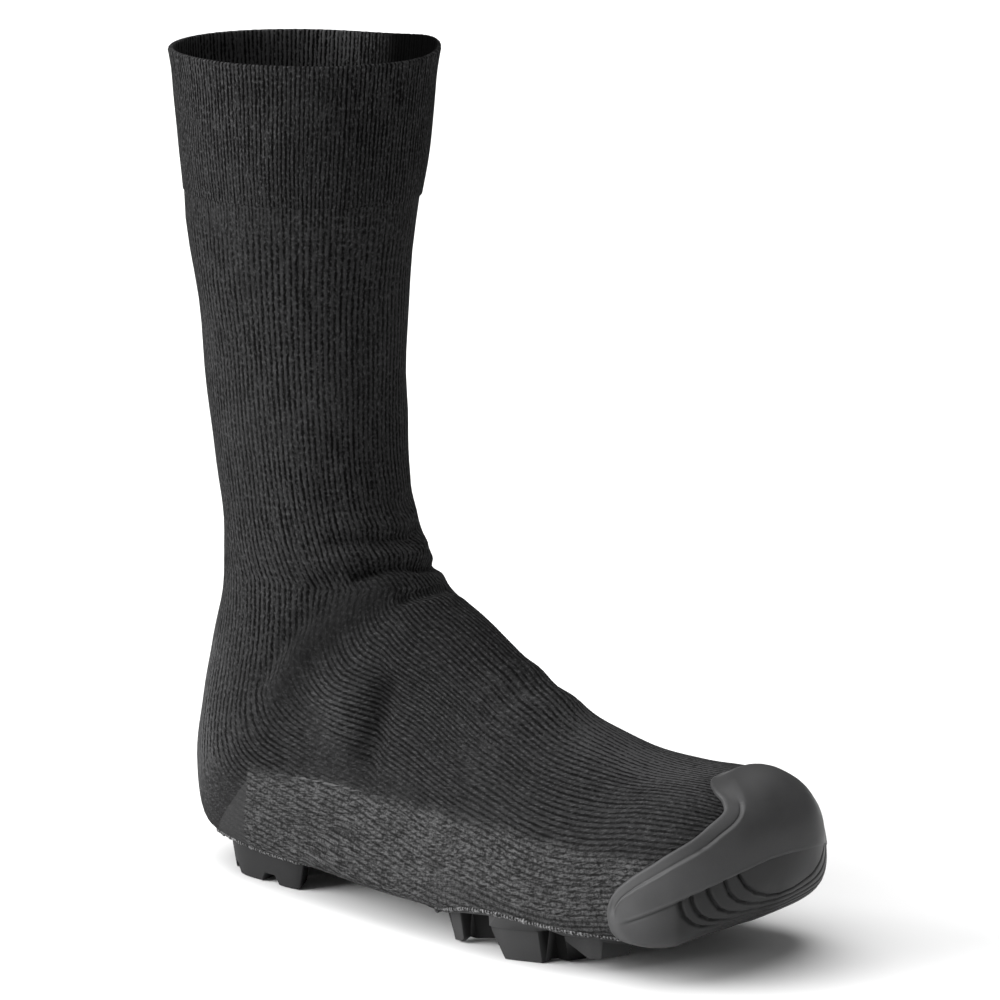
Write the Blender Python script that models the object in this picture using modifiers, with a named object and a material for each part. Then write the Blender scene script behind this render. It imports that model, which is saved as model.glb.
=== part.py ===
"""Cycling overshoe, right foot: a knitted sock upper and a moulded toe cap over a lugged sole.

Frame: +X to the toe, -Y to the outer side of the foot, +Z up, origin on the floor under the
middle of the shoe. Tables and sizes are in millimetres from the heel datum; meshes are in metres.
"""

import math
from collections import namedtuple

import bmesh
import bpy
import numpy as np

MM = 0.001

# Where the heel datum lies in the part's frame
HEEL_DATUM_X = -148.2
HEEL_DATUM_Y = -2.0

# Walls and gaps
KNIT_WALL = 1.6
CUFF_WALL = 2.6
CUFF_STEP = 1.0
FIT_GAP = 0.35
CAP_GAP = 0.7

# Sections of the last, collar to toe box. Each joins a front or top point to a back or sole point.
Section = namedtuple(
    "Section",
    "name steps front_x front_z back_x back_z half_width centre_y top_power sole_power egg tuck",
)
SECTIONS = [
    Section("collar", 2, 112.0, 338.5, -1.0, 338.5, 49.5, 0.0, 2.0, 2.0, 0.00, 0.00),
    Section("cuff_hem", 2, 103.5, 281.0, 3.5, 281.0, 43.8, 0.0, 2.0, 2.0, 0.00, 0.00),
    Section("calf", 2, 97.5, 236.0, 9.0, 236.0, 38.7, 0.0, 2.0, 2.0, 0.00, 0.00),
    Section("shin", 2, 96.5, 198.0, 13.0, 198.0, 36.5, 0.0, 2.0, 2.0, 0.00, 0.00),
    Section("ankle", 3, 98.5, 166.0, 17.5, 162.0, 35.5, 0.0, 2.0, 2.0, 0.00, 0.00),
    Section("bend", 3, 107.0, 142.0, 19.0, 124.0, 36.0, 0.0, 2.0, 2.0, 0.02, 0.00),
    Section("throat", 3, 122.0, 126.0, 13.0, 88.0, 37.0, 0.0, 2.0, 2.0, 0.05, 0.00),
    Section("counter", 4, 141.0, 118.5, 4.5, 52.0, 38.8, 0.0, 2.0, 2.15, 0.08, 0.00),
    Section("heel", 3, 157.0, 110.0, 12.0, 19.0, 39.5, 0.0, 2.0, 2.7, 0.14, 0.00),
    Section("seat", 3, 172.0, 102.0, 42.0, 12.0, 40.0, 0.0, 2.0, 4.5, 0.20, 0.03),
    Section("arch", 2, 188.0, 94.5, 92.0, 12.0, 41.0, -1.0, 2.0, 6.0, 0.24, 0.13),
    Section("waist", 2, 204.0, 86.0, 138.0, 11.5, 44.0, -1.0, 2.1, 7.0, 0.24, 0.12),
    Section("ball", 3, 222.0, 79.0, 182.0, 12.0, 47.5, 0.0, 2.2, 7.0, 0.20, 0.03),
    Section("vamp", 2, 241.0, 75.0, 222.0, 12.2, 49.0, 2.0, 2.5, 7.0, 0.14, 0.00),
    Section("toe_box", 8, 256.0, 74.0, 250.0, 13.8, 47.5, 4.5, 2.9, 6.0, 0.08, 0.00),
]
STATION = {section.name: index for index, section in enumerate(SECTIONS)}
COLUMN = {name: index for index, name in enumerate(Section._fields)}

# The toe closes as a blunt dome past the last section
DOME_LENGTH = 41.5
DOME_POWER = 2.6
TIP_Y = 6.5
TIP_Z = 48.5
LAST_T = len(SECTIONS) - 1
TIP_T = LAST_T + 1

# Columns round the sock: the sole side below the edge share, then sides and top
EDGE_SHARE = 0.20
SOLE_COLUMNS = 7
SOLE_COLUMN_POWER = 1.5
SIDE_COLUMNS = 20
OUTLINE_POINTS = 240

# Openings under the sole: where they start and end along the sole, and how square their ends are
Opening = namedtuple("Opening", "name start_x end_x hem_inset end_power")
OPENINGS = [
    Opening("heel", 23.0, 94.0, 6.5, 4.0),
    Opening("forefoot", 156.5, 259.0, 7.0, 8.0),
]
OPENING_ROW_PLACES = (-1.005, -0.985, -0.94, -0.8, -0.4, 0.4, 0.8, 0.94, 0.985, 1.005)
GATHER_LENGTH = 14.0
ROW_SPACING = 0.08

# Toe cap: its border round the sock, from the sole over the top, as places along the last
BorderPoint = namedtuple("BorderPoint", "name share x")
CAP_BORDER = [
    BorderPoint("sole_middle", 0.000, 262.0),
    BorderPoint("sole_edge", 0.140, 261.0),
    BorderPoint("wing_foot", 0.163, 255.5),
    BorderPoint("wing_end_low", 0.185, 250.8),
    BorderPoint("wing_end", 0.212, 249.3),
    BorderPoint("wing_end_high", 0.236, 250.8),
    BorderPoint("wing_top", 0.260, 257.0),
    BorderPoint("wing_slope", 0.290, 268.5),
    BorderPoint("shoulder", 0.325, 279.2),
    BorderPoint("shoulder_front", 0.360, 283.2),
    BorderPoint("notch", 0.393, 284.0),
    BorderPoint("notch_side", 0.416, 280.5),
    BorderPoint("tongue_foot", 0.430, 273.5),
    BorderPoint("tongue_side", 0.450, 266.0),
    BorderPoint("tongue_corner", 0.470, 262.0),
    BorderPoint("tongue_end", 0.500, 260.0),
]
CAP_LIP_WIDTH = 6.0
CAP_LIP_WALL = 1.0
CAP_STEP_WIDTH = 1.6
CAP_WALL = 2.8
CAP_OUTER_ROWS = 9
CAP_BUMPER_WALL = 2.2
CAP_LEDGE_X = 258.0
CAP_LEDGE_Z = 22.5
CAP_LEDGE_RISE = 0.64
CAP_LEDGE_DEPTH = 2.0

# Sole plate that carries the treads, inside the knit
PLATE_BACK_X = 20.0
PLATE_FRONT_X = 280.0
PLATE_ROWS = 26
PLATE_WALL = 4.0
PLATE_LIFT = 1.2
PLATE_EDGE_DROP = 1.0
PLATE_CHAMFER = 1.8
PLATE_SIDE_GAP = 3.6

# Treads: the heel's horseshoe and the forefoot's strips
TREAD_HEM_GAP = 2.2
TREAD_DRAFT = 0.14
HEEL_FRONT_X = 80.0
HEEL_TURN_X = 54.0
HEEL_BACK_X = 27.5
HEEL_BAND_WIDTH = 15.0
HEEL_CLEATS = 8
HEEL_NOTCH = 4.0
HEEL_NOTCH_DEPTH = 4.5
HEEL_SLOPE = 1.6
HEEL_TOP_Z = 14.3
LugRow = namedtuple("LugRow", "name x ground_z width")
FOREFOOT_LUGS = [
    LugRow("strip_back", 161.0, 10.0, 9.0),
    LugRow("post_back_root", 164.0, 10.0, 9.0),
    LugRow("post_back", 166.5, 0.0, 9.0),
    LugRow("post_front", 173.0, 0.0, 9.0),
    LugRow("post_front_root", 175.5, 10.0, 10.0),
    LugRow("main_back_root", 186.0, 9.5, 14.0),
    LugRow("main_back", 192.5, 0.0, 18.0),
    LugRow("main_middle", 202.0, 0.0, 19.0),
    LugRow("main_front", 212.0, 0.0, 18.0),
    LugRow("main_front_root", 214.5, 9.5, 16.0),
    LugRow("fore_back_root", 223.0, 11.0, 14.0),
    LugRow("fore_back", 231.0, 5.5, 17.0),
    LugRow("fore_front", 238.0, 6.0, 16.0),
    LugRow("fore_front_root", 239.5, 12.0, 15.0),
    LugRow("strip_front", 248.0, 12.0, 13.0),
]

# Colours as linear red, green, blue
KNIT_COLOUR = (0.026, 0.026, 0.027, 1.0)
CAP_COLOUR = (0.055, 0.055, 0.056, 1.0)
PLATE_COLOUR = (0.018, 0.018, 0.019, 1.0)
TREAD_COLOUR = (0.034, 0.034, 0.035, 1.0)


def smooth_column(values, t):
    """One table column read at the places t by a Catmull-Rom curve through its rows."""
    rows = np.asarray(values, float)
    slopes = np.empty_like(rows)
    slopes[1:-1] = (rows[2:] - rows[:-2]) / 2
    slopes[0] = rows[1] - rows[0]
    slopes[-1] = rows[-1] - rows[-2]
    index = np.clip(np.floor(t).astype(int), 0, len(rows) - 2)
    f = t - index
    return (
        (2 * f**3 - 3 * f**2 + 1) * rows[index]
        + (f**3 - 2 * f**2 + f) * slopes[index]
        + (3 * f**2 - 2 * f**3) * rows[index + 1]
        + (f**3 - f**2) * slopes[index + 1]
    )


def section_values(t):
    """The section's columns at the places t, with the dome past the last row, as a dict of arrays."""
    t = np.atleast_1d(np.asarray(t, float))
    on_last = np.minimum(t, LAST_T)
    value = {
        name: smooth_column([row[COLUMN[name]] for row in SECTIONS], on_last)
        for name in Section._fields[2:]
    }
    turn = np.clip(t - LAST_T, 0, 1) * math.pi / 2
    share = np.clip(np.cos(turn), 0, 1) ** (2 / DOME_POWER)
    middle_x = (value["front_x"] + value["back_x"]) / 2
    middle_z = (value["front_z"] + value["back_z"]) / 2
    half_x = (value["front_x"] - value["back_x"]) / 2 * share
    half_z = (value["front_z"] - value["back_z"]) / 2 * share
    middle_x = middle_x + DOME_LENGTH * np.sin(turn) ** (2 / DOME_POWER)
    middle_z = middle_z + (TIP_Z - middle_z) * np.sin(turn)
    value["centre_y"] = value["centre_y"] + (TIP_Y - value["centre_y"]) * np.sin(turn)
    value["half_width"] = value["half_width"] * share
    value.update(middle_x=middle_x, middle_z=middle_z, half_x=half_x, half_z=half_z)
    return value


def outlines(t):
    """Closed section outlines at the places t: sole middle, inner side, top, outer side, sole middle."""
    value = {name: column[:, None] for name, column in section_values(t).items()}
    angle = np.linspace(0, 2 * math.pi, OUTLINE_POINTS + 1)[None, :]
    up, across = -np.cos(angle), np.sin(angle)
    power = 2 / np.where(up > 0, value["top_power"], value["sole_power"])
    up = np.sign(up) * np.abs(up) ** power
    across = np.sign(across) * np.abs(across) ** power
    x = value["middle_x"] + value["half_x"] * up
    tuck = np.where(across > 0, value["tuck"] * (1 - up) / 2, 0)
    y = value["centre_y"] + value["half_width"] * across * (1 - value["egg"] * up) * (1 - tuck)
    z = value["middle_z"] + value["half_z"] * up
    return np.stack([x, y, z], axis=-1)


def girth_shares(curve):
    """Each outline point's share of the way round, by length."""
    run = np.concatenate([[0.0], np.cumsum(np.linalg.norm(np.diff(curve, axis=0), axis=1))])
    return run / max(run[-1], 1e-9)


def sock_points(t, share):
    """Points of the sock's outer surface at matching arrays of place t and girth share."""
    t, share = np.broadcast_arrays(np.asarray(t, float), np.asarray(share, float))
    flat_t, flat_share = t.ravel(), np.mod(share.ravel(), 1.0)
    found = np.empty((flat_t.size, 3))
    for index, curve in enumerate(outlines(flat_t)):
        around = girth_shares(curve)
        found[index] = [np.interp(flat_share[index], around, curve[:, axis]) for axis in range(3)]
    return found.reshape(t.shape + (3,))


def sock_normals(t, share):
    """Outward unit normals of the sock's surface; at the tip they point along +X."""
    step_t, step_share = 0.01, 0.004
    t = np.minimum(np.asarray(t, float), TIP_T - 0.03)
    low, high = np.maximum(t - step_t, 0), t + step_t
    along = sock_points(high, share) - sock_points(low, share)
    around = sock_points(t, share + step_share) - sock_points(t, share - step_share)
    normal = np.cross(around, along)
    return normal / np.linalg.norm(normal, axis=-1, keepdims=True)


def place_of_sole_x(x):
    """The place t whose sole point lies at x along the last, from the heel forward."""
    t = np.linspace(STATION["counter"], TIP_T, 600)
    value = section_values(t)
    return np.interp(x, value["middle_x"] - value["half_x"], t)


def place_of_x(x, share):
    """The place t where the line at one girth share reaches x, over the foot."""
    t = np.linspace(STATION["waist"], TIP_T, 160)
    line_x = sock_points(t, np.full_like(t, share))[:, 0]
    return float(np.interp(x, np.maximum.accumulate(line_x), t))


def opening_share(opening, x):
    """How far the opening's half width has grown at x, 0 at its ends to 1 in its middle."""
    middle = (opening.start_x + opening.end_x) / 2
    half = (opening.end_x - opening.start_x) / 2
    place = min(abs(x - middle) / half, 1.0)
    return (1 - place**opening.end_power) ** (1 / opening.end_power)


def hem_shares(t):
    """Girth shares of the inner and outer hem at one place t; 0 and 1 where the sole side is closed."""
    value = section_values(t)
    x = float((value["middle_x"] - value["half_x"])[0])
    for opening in OPENINGS:
        if t < STATION["counter"] or not opening.start_x < x < opening.end_x:
            continue
        curve = outlines(t)[0]
        around = girth_shares(curve)
        reach = np.abs(curve[:, 1] - value["centre_y"][0])
        hem = (reach.max() - opening.hem_inset) * opening_share(opening, x)
        half = len(curve) // 4
        inner = np.interp(hem, reach[:half], around[:half])
        outer = np.interp(hem, reach[::-1][:half], 1 - around[::-1][:half])
        return inner, 1 - outer
    return 0.0, 1.0


def gathered_hem(t):
    """Hem shares of the nearest opening's end for a closed row beside it, and how much to gather towards them."""
    value = section_values(t)
    x = float((value["middle_x"] - value["half_x"])[0])
    for opening in OPENINGS:
        middle = (opening.start_x + opening.end_x) / 2
        half = (opening.end_x - opening.start_x) / 2
        beyond = abs(x - middle) - half
        if t < STATION["counter"] or not 0 <= beyond < GATHER_LENGTH:
            continue
        first_open = middle + math.copysign(half * OPENING_ROW_PLACES[-2], x - middle)
        inner, outer = hem_shares(float(place_of_sole_x(first_open)))
        return inner, outer, 1 - beyond / GATHER_LENGTH
    return 0.0, 1.0, 0.0


def column_shares(t):
    """Girth shares of the sock's columns at one place t, hem to hem over the top, closer at the sole's edge."""
    inner, outer = hem_shares(t)
    closer = 1 - (1 - np.linspace(0, 1, SOLE_COLUMNS + 1)) ** SOLE_COLUMN_POWER
    inner_sole = inner + (EDGE_SHARE - inner) * closer
    outer_sole = outer + (1 - EDGE_SHARE - outer) * closer
    if inner == 0.0:
        inner_hem, outer_hem, gather = gathered_hem(t)
        rest = np.linspace(0, 1, SOLE_COLUMNS)
        inner_sole[1:] += gather * (inner_hem + (EDGE_SHARE - inner_hem) * rest - inner_sole[1:])
        outer_sole[1:] += gather * (outer_hem + (1 - EDGE_SHARE - outer_hem) * rest - outer_sole[1:])
    over_top = np.linspace(EDGE_SHARE, 1 - EDGE_SHARE, SIDE_COLUMNS + 1)
    return np.concatenate([inner_sole, over_top[1:], outer_sole[::-1][1:]])


def row_places():
    """Places t of the sock's rows: even steps between sections, plus the cuff's hem and the openings' ends."""
    fixed = [STATION["cuff_hem"] - 0.03, STATION["cuff_hem"] + 0.01]
    for opening in OPENINGS:
        middle = (opening.start_x + opening.end_x) / 2
        half = (opening.end_x - opening.start_x) / 2
        fixed += [float(place_of_sole_x(middle + place * half)) for place in OPENING_ROW_PLACES]
    even = [
        index + step / section.steps
        for index, section in enumerate(SECTIONS)
        for step in range(section.steps)
    ]
    kept = [t for t in even if all(abs(t - other) > ROW_SPACING for other in fixed) or t == 0]
    return sorted(kept + fixed)


def to_frame(points):
    """Points of the last in millimetres as points of the part's frame in metres."""
    return (np.asarray(points, float) + [HEEL_DATUM_X, HEEL_DATUM_Y, 0.0]) * MM


def new_material(name, colour, roughness):
    """A plain surface of one colour and roughness."""
    material = bpy.data.materials.new(name)
    material.use_nodes = True
    shader = material.node_tree.nodes["Principled BSDF"]
    shader.inputs["Base Color"].default_value = colour
    shader.inputs["Roughness"].default_value = roughness
    shader.inputs["Metallic"].default_value = 0.0
    material.diffuse_color = colour
    return material


def new_object(name, points, faces, material, collection, parent):
    """A mesh object from points of the last, with coincident points merged."""
    mesh = bpy.data.meshes.new(name)
    mesh.from_pydata(to_frame(points).tolist(), [], faces)
    work = bmesh.new()
    work.from_mesh(mesh)
    bmesh.ops.remove_doubles(work, verts=work.verts, dist=1e-6)
    bmesh.ops.dissolve_degenerate(work, dist=1e-7, edges=work.edges)
    work.to_mesh(mesh)
    work.free()
    mesh.materials.append(material)
    mesh.shade_smooth()
    mesh.set_sharp_from_angle(angle=math.radians(35))
    item = bpy.data.objects.new(name, mesh)
    item.parent = parent
    collection.objects.link(item)
    return item


def grid_faces(rows, columns, first=0, ring=False, flip=False):
    """Quads of a grid of points stored row by row; a ring's last column joins its first."""
    faces = []
    for row in range(rows - 1):
        for column in range(columns if ring else columns - 1):
            after = (column + 1) % columns
            quad = [
                first + row * columns + column,
                first + row * columns + after,
                first + (row + 1) * columns + after,
                first + (row + 1) * columns + column,
            ]
            faces.append(quad[::-1] if flip else quad)
    return faces


def make_upper(material, collection, parent):
    """The knitted sock: one surface from collar to toe, open under heel and forefoot, with a solid wall."""
    places = row_places()
    columns = 2 * SOLE_COLUMNS + SIDE_COLUMNS + 1
    rows, cuff = [], []
    for t in places:
        share = column_shares(t)
        on_cuff = t < STATION["cuff_hem"]
        raised = sock_normals(np.full(columns, t), share) * (CUFF_STEP if on_cuff else 0.0)
        rows.append(sock_points(np.full(columns, t), share) + raised)
        cuff += [on_cuff] * columns
    tip = sock_points(TIP_T, 0.5)
    points = np.concatenate(rows + [tip[None, :]])
    faces = grid_faces(len(places), columns)
    last = (len(places) - 1) * columns
    faces += [[last + column, last + column + 1, len(points) - 1] for column in range(columns - 1)]
    upper = new_object("knit_upper", points, faces, material, collection, parent)

    cuff_low = min(row[:, 2].min() for row, t in zip(rows, places) if t < STATION["cuff_hem"])
    wall = upper.vertex_groups.new(name="wall")
    for vertex in upper.data.vertices:
        weight = 1.0 if vertex.co.z >= (cuff_low - FIT_GAP) * MM else KNIT_WALL / CUFF_WALL
        wall.add([vertex.index], weight, "REPLACE")
    solid = upper.modifiers.new("knit wall", "SOLIDIFY")
    solid.thickness = CUFF_WALL * MM
    solid.offset = -1.0
    solid.vertex_group = wall.name
    return upper


def cap_border_x(share):
    """Where the cap's border lies along the last at one girth share, the same on both sides."""
    places = [point.share for point in CAP_BORDER]
    share = min(share, 1 - share)
    index = np.interp(share, places, np.arange(len(places)))
    return float(smooth_column([point.x for point in CAP_BORDER], np.array([index]))[0])


def cap_wall(run, point):
    """The cap's wall: a thin lip at its border, a step up, and a recessed bumper under the ledge line."""
    rise = np.clip((run - CAP_LIP_WIDTH) / CAP_STEP_WIDTH, 0, 1)
    ledge_z = CAP_LEDGE_Z + (point[..., 0] - CAP_LEDGE_X) * CAP_LEDGE_RISE
    bumper = np.clip((ledge_z - point[..., 2]) / CAP_LEDGE_DEPTH, 0, 1)
    full = CAP_WALL + (CAP_BUMPER_WALL - CAP_WALL) * bumper
    return CAP_LIP_WALL + (full - CAP_LIP_WALL) * rise


def make_toe_cap(material, collection, parent):
    """The moulded cap: cut from the sock's own surface along its border, between two offsets of it."""
    steps = 60
    share = column_shares(TIP_T)[:-1]
    share = np.sort(np.concatenate([share, share + np.diff(np.append(share, 1.0)) / 2]))
    fine = np.empty((steps, share.size))
    for column in range(share.size):
        start = place_of_x(cap_border_x(share[column]), share[column])
        fine[:, column] = np.linspace(start, TIP_T, steps)
    line = sock_points(fine, np.broadcast_to(share, fine.shape))
    run = np.cumsum(np.linalg.norm(np.diff(line, axis=0, prepend=line[:1]), axis=-1), 0)

    lip_rows = np.array([0.0, CAP_LIP_WIDTH, CAP_LIP_WIDTH + CAP_STEP_WIDTH])
    body = np.linspace(0, 1, CAP_OUTER_ROWS + 1)[1:-1]
    place = np.empty((len(lip_rows) + len(body), share.size))
    length = np.empty_like(place)
    for column in range(share.size):
        reach = np.concatenate([lip_rows, lip_rows[-1] + (run[-1, column] - lip_rows[-1]) * body])
        length[:, column] = reach
        place[:, column] = np.interp(reach, run[:, column], fine[:, column])
    shares = np.broadcast_to(share, place.shape)
    base, normal = sock_points(place, shares), sock_normals(place, shares)
    inner = base + normal * CAP_GAP
    outer = inner + normal * cap_wall(length, base)[..., None]

    tip = sock_points(TIP_T, 0.5)
    tip_inner = tip + [CAP_GAP, 0, 0]
    tip_outer = tip_inner + [CAP_WALL, 0, 0]
    rows, columns = place.shape
    count = rows * columns
    points = np.concatenate([outer.reshape(-1, 3), inner.reshape(-1, 3), [tip_outer, tip_inner]])
    faces = grid_faces(rows, columns, 0, ring=True)
    faces += grid_faces(rows, columns, count, ring=True, flip=True)
    for column in range(columns):
        after = (column + 1) % columns
        last = (rows - 1) * columns
        faces.append([last + column, last + after, 2 * count])
        faces.append([count + last + after, count + last + column, 2 * count + 1])
        faces.append([after, column, count + column, count + after])
    return new_object("toe_cap", points, faces, material, collection, parent)


def inner_reach(t, height):
    """Half width inside the knit, on the inner and outer side, at one height over the sole point."""
    curve = outlines(t)[0]
    around = girth_shares(curve)
    quarter = slice(2, len(curve) // 3)
    found = []
    for share in (around[quarter], around[::-1][quarter]):
        wall = sock_points(np.full(share.size, t), share) - sock_normals(np.full(share.size, t), share) * KNIT_WALL
        lift = np.maximum.accumulate(wall[:, 2] - curve[0, 2])
        found.append(float(np.interp(height, lift, wall[:, 1])))
    return found


def plate_under_z(x):
    """Height of the sole plate's underside at x along the last."""
    t = place_of_sole_x(x)
    value = section_values(t)
    return float((value["middle_z"] - value["half_z"])[0]) + KNIT_WALL + PLATE_LIFT


def make_plate(material, collection, parent):
    """The sole plate: a slab inside the knit with a chamfered lower edge, following the sole's curve."""
    heights = (KNIT_WALL + PLATE_LIFT, KNIT_WALL + PLATE_LIFT + PLATE_CHAMFER, KNIT_WALL + PLATE_LIFT + PLATE_WALL)
    rings = []
    for x in np.linspace(PLATE_BACK_X, PLATE_FRONT_X, PLATE_ROWS):
        t = float(place_of_sole_x(x))
        value = section_values(t)
        low = np.array([(value["middle_x"] - value["half_x"])[0], 0, (value["middle_z"] - value["half_z"])[0]])
        lean = np.array([value["half_x"][0] / value["half_z"][0], 0, 1.0])
        inner_side, outer_side = [], []
        for height in heights:
            inner, outer = inner_reach(t, height - PLATE_EDGE_DROP)
            inner_side.append(low + lean * height + [0, inner - PLATE_SIDE_GAP, 0])
            outer_side.append(low + lean * height + [0, outer + PLATE_SIDE_GAP, 0])
        rings.append(np.array(outer_side[::-1] + inner_side))
    return make_loft("sole_plate", rings, material, collection, parent)


def make_loft(name, rings, material, collection, parent):
    """A closed solid through like rings, with its two ends filled."""
    columns = len(rings[0])
    points = np.concatenate(rings)
    faces = grid_faces(len(rings), columns, 0, ring=True, flip=True)
    faces.append(list(range(columns)))
    last = (len(rings) - 1) * columns
    faces.append([last + column for column in range(columns)][::-1])
    item = new_object(name, points, faces, material, collection, parent)
    work = bmesh.new()
    work.from_mesh(item.data)
    bmesh.ops.recalc_face_normals(work, faces=work.faces)
    work.to_mesh(item.data)
    work.free()
    return item


def hem_half_width(x):
    """Half width inside the knit's opening at x, less the tread's gap, and the section's middle y."""
    t = float(place_of_sole_x(x))
    value = section_values(t)
    centre = float(value["centre_y"][0])
    reach = float(np.abs(outlines(t)[0][:, 1] - centre).max())
    opening = OPENINGS[0] if x < OPENINGS[0].end_x else OPENINGS[1]
    return (reach - opening.hem_inset) * opening_share(opening, x) - TREAD_HEM_GAP, centre


def tread_ring(outer, inner, top_z, ground_z):
    """One four-cornered ring across a tread, drafted inwards towards the ground."""
    across = inner - outer
    across = across / np.linalg.norm(across)
    draft = across * (top_z - ground_z) * TREAD_DRAFT
    return np.array(
        [
            [outer[0], outer[1], top_z],
            [outer[0] + draft[0], outer[1] + draft[1], ground_z],
            [inner[0] - draft[0], inner[1] - draft[1], ground_z],
            [inner[0], inner[1], top_z],
        ]
    )


def heel_edges(turn):
    """Outer and inner edge points of the horseshoe at one place: legs at the ends, a half ellipse round the heel."""
    legs = HEEL_FRONT_X - HEEL_TURN_X
    half, _ = hem_half_width(HEEL_TURN_X)
    back = HEEL_TURN_X - HEEL_BACK_X
    width = HEEL_BAND_WIDTH
    if turn < 0 or turn > 1:
        beyond = -turn if turn < 0 else turn - 1
        side = -1 if turn < 0 else 1
        x = HEEL_TURN_X + legs * beyond
        reach = hem_half_width(x)[0]
        return np.array([x, side * reach]), np.array([x, side * (reach - width)])
    angle = math.pi * turn
    outer = np.array([HEEL_TURN_X - back * math.sin(angle), -half * math.cos(angle)])
    inner = np.array([HEEL_TURN_X - (back - width) * math.sin(angle), -(half - width) * math.cos(angle)])
    return outer, inner


def heel_ground(run, length):
    """Height of the horseshoe's underside along its run: cleats on the floor, with sloped notches between."""
    pitch = (length + HEEL_NOTCH) / HEEL_CLEATS
    place = run % pitch
    cleat = pitch - HEEL_NOTCH
    if place <= cleat:
        return 0.0
    into = min(place - cleat, pitch - place)
    return HEEL_NOTCH_DEPTH * min(into / HEEL_SLOPE, 1.0)


def make_heel_tread(material, collection, parent):
    """The heel's horseshoe of cleats."""
    fine = np.linspace(-1, 2, 601)
    path = np.array([heel_edges(turn)[0] for turn in fine])
    run = np.concatenate([[0.0], np.cumsum(np.linalg.norm(np.diff(path, axis=0), axis=1))])
    pitch = (run[-1] + HEEL_NOTCH) / HEEL_CLEATS
    cleat = pitch - HEEL_NOTCH
    stops = {0.0, run[-1]}
    for number in range(HEEL_CLEATS):
        start = number * pitch
        stops |= {start, start + cleat / 2, start + cleat}
        stops |= {start + cleat + HEEL_SLOPE, start + pitch - HEEL_SLOPE}
    rings = []
    for stop in sorted(stop for stop in stops if stop <= run[-1]):
        outer, inner = heel_edges(float(np.interp(stop, run, fine)))
        rings.append(tread_ring(outer, inner, HEEL_TOP_Z, heel_ground(stop, run[-1])))
    return make_loft("heel_tread", rings, material, collection, parent)


def make_forefoot_tread(name, side, material, collection, parent):
    """One forefoot strip with its post, main lug and fore lug, along the outer (-1) or inner (+1) edge."""
    rings = []
    for row in FOREFOOT_LUGS:
        reach, centre = hem_half_width(row.x)
        outer = np.array([row.x, centre + side * reach])
        inner = np.array([row.x, centre + side * (reach - row.width)])
        rings.append(tread_ring(outer, inner, plate_under_z(row.x) - FIT_GAP, row.ground_z))
    return make_loft(name, rings, material, collection, parent)


def main():
    for item in list(bpy.data.objects):
        bpy.data.objects.remove(item)
    collection = bpy.data.collections.new("overshoe")
    bpy.context.scene.collection.children.link(collection)
    root = bpy.data.objects.new("overshoe_root", None)
    collection.objects.link(root)

    knit = new_material("knit", KNIT_COLOUR, 0.9)
    cap = new_material("cap rubber", CAP_COLOUR, 0.5)
    plate = new_material("sole plate", PLATE_COLOUR, 0.6)
    tread = new_material("tread rubber", TREAD_COLOUR, 0.65)

    make_upper(knit, collection, root)
    make_toe_cap(cap, collection, root)
    make_plate(plate, collection, root)
    make_heel_tread(tread, collection, root)
    make_forefoot_tread("forefoot_tread_outer", -1, tread, collection, root)
    make_forefoot_tread("forefoot_tread_inner", 1, tread, collection, root)


if __name__ == "__main__":
    main()
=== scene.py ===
"""Knitted cycling overshoe, right foot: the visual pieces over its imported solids.

The sock, its cuff and hems, the moulded toe cap, the sole plate and the treads are grid surfaces
worked out from one table of last sections. The tables are in millimetres from the heel datum, with
+X to the toe, -Y to the outer side of the foot and +Z up; the meshes are in metres in the part's
own frame.
"""

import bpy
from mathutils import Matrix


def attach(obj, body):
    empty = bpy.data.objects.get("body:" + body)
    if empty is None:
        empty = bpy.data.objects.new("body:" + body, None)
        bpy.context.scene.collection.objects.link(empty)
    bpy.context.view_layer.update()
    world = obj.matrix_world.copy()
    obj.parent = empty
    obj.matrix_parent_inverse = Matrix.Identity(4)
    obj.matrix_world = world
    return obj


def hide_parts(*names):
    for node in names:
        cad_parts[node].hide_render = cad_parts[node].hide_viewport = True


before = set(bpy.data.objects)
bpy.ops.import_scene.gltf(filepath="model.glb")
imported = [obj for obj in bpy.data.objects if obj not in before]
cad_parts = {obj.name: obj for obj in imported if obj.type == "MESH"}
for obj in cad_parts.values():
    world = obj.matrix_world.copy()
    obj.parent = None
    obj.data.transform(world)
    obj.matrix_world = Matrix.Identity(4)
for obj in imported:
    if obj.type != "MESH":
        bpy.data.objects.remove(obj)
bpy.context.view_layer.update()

import math
from collections import namedtuple

import bpy
import numpy as np
from bpy.props import FloatProperty, FloatVectorProperty, IntProperty, PointerProperty

bl_info = {
    "name": "Knitted overshoe",
    "version": (1, 0, 0),
    "blender": (4, 5, 0),
    "location": "View3D > Sidebar > Overshoe",
    "description": "Builds the knitted sock, toe cap, sole and stage of a cycling overshoe",
    "category": "Add Mesh",
}

MM = 0.001
HEEL_DATUM = np.array([-148.2, -2.0, 0.0])

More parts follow.
